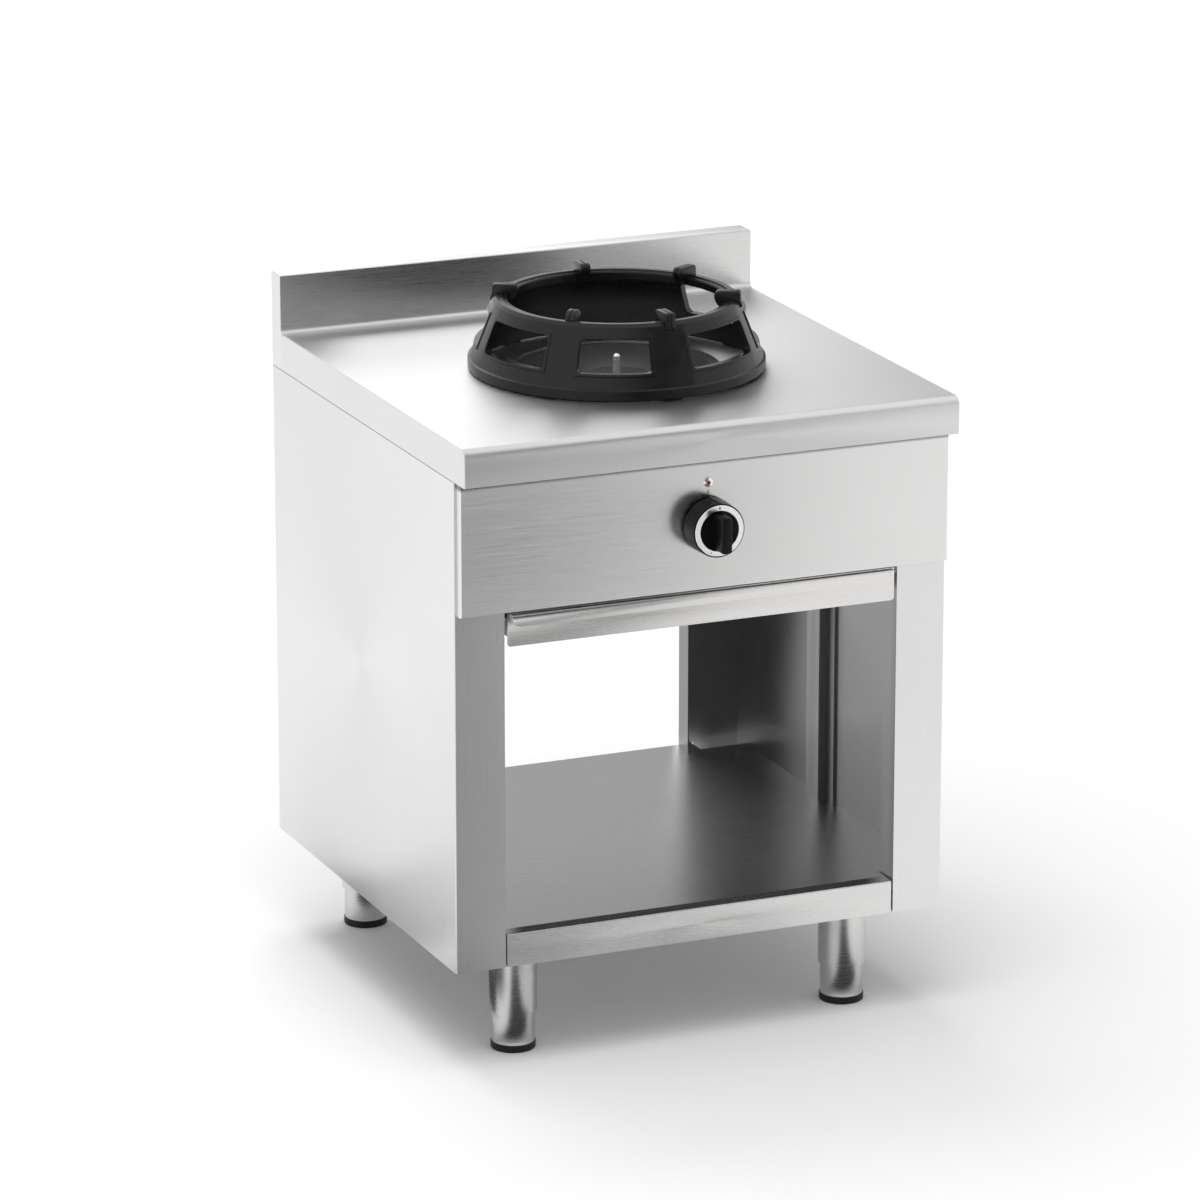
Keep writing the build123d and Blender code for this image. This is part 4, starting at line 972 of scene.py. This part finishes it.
knobLow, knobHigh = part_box("knob_body")
knob = {
    "skirt": 0.037,
    "face": 0.036,
    "skirtDepth": 0.031,
    "band": 0.009,
    "ringOuter": 0.0342,
    "ringInner": 0.0268,
    "ringProud": 0.0015,
    "ringDepth": 0.003,
    "dish": 0.0012,
    "rearEdge": 0.0015,
    "faceStep": 0.0005,
    "gripWidth": 0.0145,
    "gripLength": 0.048,
    "gripDrop": 0.001,
    "gripRound": 0.0035,
    "gripEdge": 0.0016,
    "gripGap": 0.0004,
    "pointerWidth": 0.013,
    "pointerTip": 0.25,  # width at the top as a share of the width below
    "pointerRise": 0.0016,
    "pointerRoot": 0.004,
    "pointerRear": 0.0005,
    "pointerFront": 0.001,
    "pointerFall": 1.4,  # how far the front end drops, as a share of the rise
    "pointerEdge": 0.0006,
    "redMark": (0.0026, 0.0042, 0),  # width, height and place round the ring in degrees
    "darkMark": (0.0011, 0.0034, 203),
    "markProud": 0.00012,
    "markDepth": 0.0002,
    "markSteps": 24,
    "spinSteps": 64,
}
knobMiddle = Vector(((knobLow[0] + knobHigh[0]) / 2, 0, (knobLow[2] + knobHigh[2]) / 2))
knobRear, gripFront = knobHigh[1], knobLow[1]
knobFace = knobRear - knob["skirtDepth"]


def spinAboutKnob(form, points):
    # turns a profile of (radius, y) points about the knob's axis
    verts = [form.verts.new(knobMiddle + Vector((0, y, radius))) for radius, y in points]
    edges = [form.edges.new(pair) for pair in zip(verts, verts[1:])]
    bmesh.ops.spin(form, geom=verts + edges, cent=knobMiddle, axis=(0, 1, 0), angle=math.tau,
                   steps=knob["spinSteps"], use_merge=True, use_duplicate=False)
    bmesh.ops.remove_doubles(form, verts=form.verts, dist=1e-5)
    bmesh.ops.recalc_face_normals(form, faces=form.faces)


def makeKnobSkirt():
    form = bmesh.new()
    skirt, step, rearEdge = knob["skirt"], knob["faceStep"], knob["rearEdge"]
    outer, inner = knob["ringOuter"] + step / 2, knob["ringInner"] - step / 2
    spinAboutKnob(form, [
        (0, knobRear),
        (skirt - rearEdge, knobRear),
        (skirt, knobRear - rearEdge),
        (skirt, knobRear - knob["band"]),
        (knob["face"], knobFace + step),
        (knob["face"] - step, knobFace),
        (outer, knobFace),
        (outer, knobFace + knob["ringDepth"]),
        (inner, knobFace + knob["ringDepth"]),
        (inner, knobFace + step),
        (knob["ringInner"] - 4 * step, knobFace + knob["dish"]),
        (0, knobFace + knob["dish"]),
    ])
    return form


def makeGrip():
    # bar across the face, with rounded ends and front edges
    form = bmesh.new()
    half, reach = knob["gripWidth"] / 2, knob["gripLength"] / 2
    middle = knobMiddle.z - knob["gripDrop"]
    rear = knobFace + knob["dish"] + knob["gripGap"]
    signs = ((-1, -1), (1, -1), (1, 1), (-1, 1))
    corners = outlineFace(form, [(x * half, rear, middle + z * reach) for x, z in signs])
    roundCorners(form, corners, knob["gripRound"], 5)
    bmesh.ops.recalc_face_normals(form, faces=form.faces)
    thicken(form, form.faces[:], (0, gripFront - rear, 0))
    front = [edge for edge in form.edges
             if all(abs(vert.co.y - gripFront) < 1e-6 for vert in edge.verts)]
    bmesh.ops.bevel(form, geom=front, offset=knob["gripEdge"], offset_type="OFFSET", segments=3,
                    profile=0.5, affect="EDGES", clamp_overlap=True, material=-1)
    return form


def makePointer():
    # wedge on the top of the skirt, which lines up with the mark on the panel
    form = bmesh.new()
    half = knob["pointerWidth"] / 2
    tip = half * knob["pointerTip"]
    rear = knobRear - knob["pointerRear"]
    low = knobMiddle.z + knob["skirt"] - knob["pointerRoot"]
    top = knobMiddle.z + knob["skirt"] + knob["pointerRise"]
    outlineFace(form, [(-half, rear, low), (half, rear, low), (tip, rear, top), (-tip, rear, top)])
    thicken(form, form.faces[:], (0, knobFace + knob["pointerFront"] - knobRear, 0))
    middle = (knobRear + knobFace) / 2
    tips = [vert for vert in form.verts if vert.co.y < middle and vert.co.z > (low + top) / 2]
    bmesh.ops.translate(form, verts=tips, vec=(0, 0, -knob["pointerRise"] * knob["pointerFall"]))
    bevelSharp(form, knob["pointerEdge"], 3, 30)
    return form


def makeKnobRing():
    form = bmesh.new()
    front = knobFace - knob["ringProud"]
    edge = knob["faceStep"]
    outer, inner = knob["ringOuter"], knob["ringInner"]
    rear = front + knob["ringDepth"]
    spinAboutKnob(form, [(inner, rear), (outer, rear), (outer, front + edge), (outer - edge, front),
                         (inner + edge, front), (inner, front + edge), (inner, rear)])
    return form


def makeRingMark(width, height, turn):
    # small raised print on the knob's metal ring
    form = bmesh.new()
    radius = (knob["ringOuter"] + knob["ringInner"]) / 2
    spin = Matrix.Rotation(math.radians(turn), 4, "Y")
    front = knobFace - knob["ringProud"] - knob["markProud"]
    place = Matrix.Translation(knobMiddle + Vector((0, front, 0))) @ spin
    place = place @ Matrix.Translation((0, 0, radius)) @ Matrix.Rotation(math.radians(90), 4, "X")
    bmesh.ops.create_circle(form, cap_ends=True, segments=knob["markSteps"], radius=0.5,
                            matrix=place @ Matrix.Diagonal((width, height, 1, 1)))
    thicken(form, form.faces[:], (0, knob["markDepth"], 0))
    return form


def makeKnob():
    body = "knob"
    finishPiece("knobSkirt", makeKnobSkirt(), "knob_black", body, ["knob_body"])
    finishPiece("knobGrip", makeGrip(), "knob_black", body, ["knob_body"])
    finishPiece("knobPointer", makePointer(), "knob_black", body, ["knob_body"])
    finishPiece("knobRing", makeKnobRing(), "satin_metal", body, ["knob_ring"])
    finishPiece("knobRedMark", makeRingMark(*knob["redMark"]), "index_red", body, [])
    finishPiece("knobDarkMark", makeRingMark(*knob["darkMark"]), "knob_black", body, [])


makeKnob()
print("knob made")


# Index: domed bezel with its red dot, and the printed line below it

indexLow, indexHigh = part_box("index_bezel")
dotLow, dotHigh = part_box("index_dot")
indexMark = {
    "lineWidth": 0.0011,
    "lineLength": 0.0085,
    "lineGap": 0.0035,
    "lineProud": 0.00015,
    "bezelShare": 0.72,  # of the depth that the bezel's node takes, so that the dot stands proud
    "bezelBulge": 0.8,
    "dotBulge": 0.3,
    "arcSteps": 8,
    "spinSteps": 32,
}


def makeDome(low, high, bulge):
    # round cap on the panel: profile of a flattened arc, turned about its own axis
    form = bmesh.new()
    middle = Vector(((low[0] + high[0]) / 2, high[1], (low[2] + high[2]) / 2))
    radius, depth = (high[0] - low[0]) / 2, high[1] - low[1]
    points = [(radius, 0)]
    for step in range(indexMark["arcSteps"] + 1):
        turn = math.radians(90 * step / indexMark["arcSteps"])
        points.append((radius * math.cos(turn), -depth * bulge * math.sin(turn) - depth * (1 - bulge)))
    verts = [form.verts.new(middle + Vector((0, y, reach))) for reach, y in points]
    edges = [form.edges.new(pair) for pair in zip(verts, verts[1:])]
    bmesh.ops.spin(form, geom=verts + edges, cent=middle, axis=(0, 1, 0), angle=math.tau,
                   steps=indexMark["spinSteps"], use_merge=True, use_duplicate=False)
    bmesh.ops.remove_doubles(form, verts=form.verts, dist=1e-6)
    rims = [edge for edge in form.edges if edge.is_boundary]
    bmesh.ops.holes_fill(form, edges=rims, sides=indexMark["spinSteps"])
    bmesh.ops.recalc_face_normals(form, faces=form.faces)
    return form


def makeIndexLine():
    form = bmesh.new()
    width, proud, length = indexMark["lineWidth"], indexMark["lineProud"], indexMark["lineLength"]
    top = indexLow[2] - indexMark["lineGap"]
    place = Matrix.Translation((0, indexHigh[1] - proud / 2, top - length / 2))
    bmesh.ops.create_cube(form, size=1, matrix=place @ Matrix.Diagonal((width, proud, length, 1)))
    return form


def makeIndex():
    lowest = Vector(indexLow)
    lowest.y = indexHigh[1] - (indexHigh[1] - indexLow[1]) * indexMark["bezelShare"]
    bezel = makeDome(lowest, indexHigh, indexMark["bezelBulge"])
    finishPiece("indexBezel", bezel, "bright_chrome", "range", ["index_bezel"])
    dot = makeDome(dotLow, dotHigh, indexMark["dotBulge"])
    finishPiece("indexDot", dot, "index_red", "range", ["index_dot"])
    finishPiece("indexLine", makeIndexLine(), "knob_black", "range", [])


makeIndex()
print("index mark made")
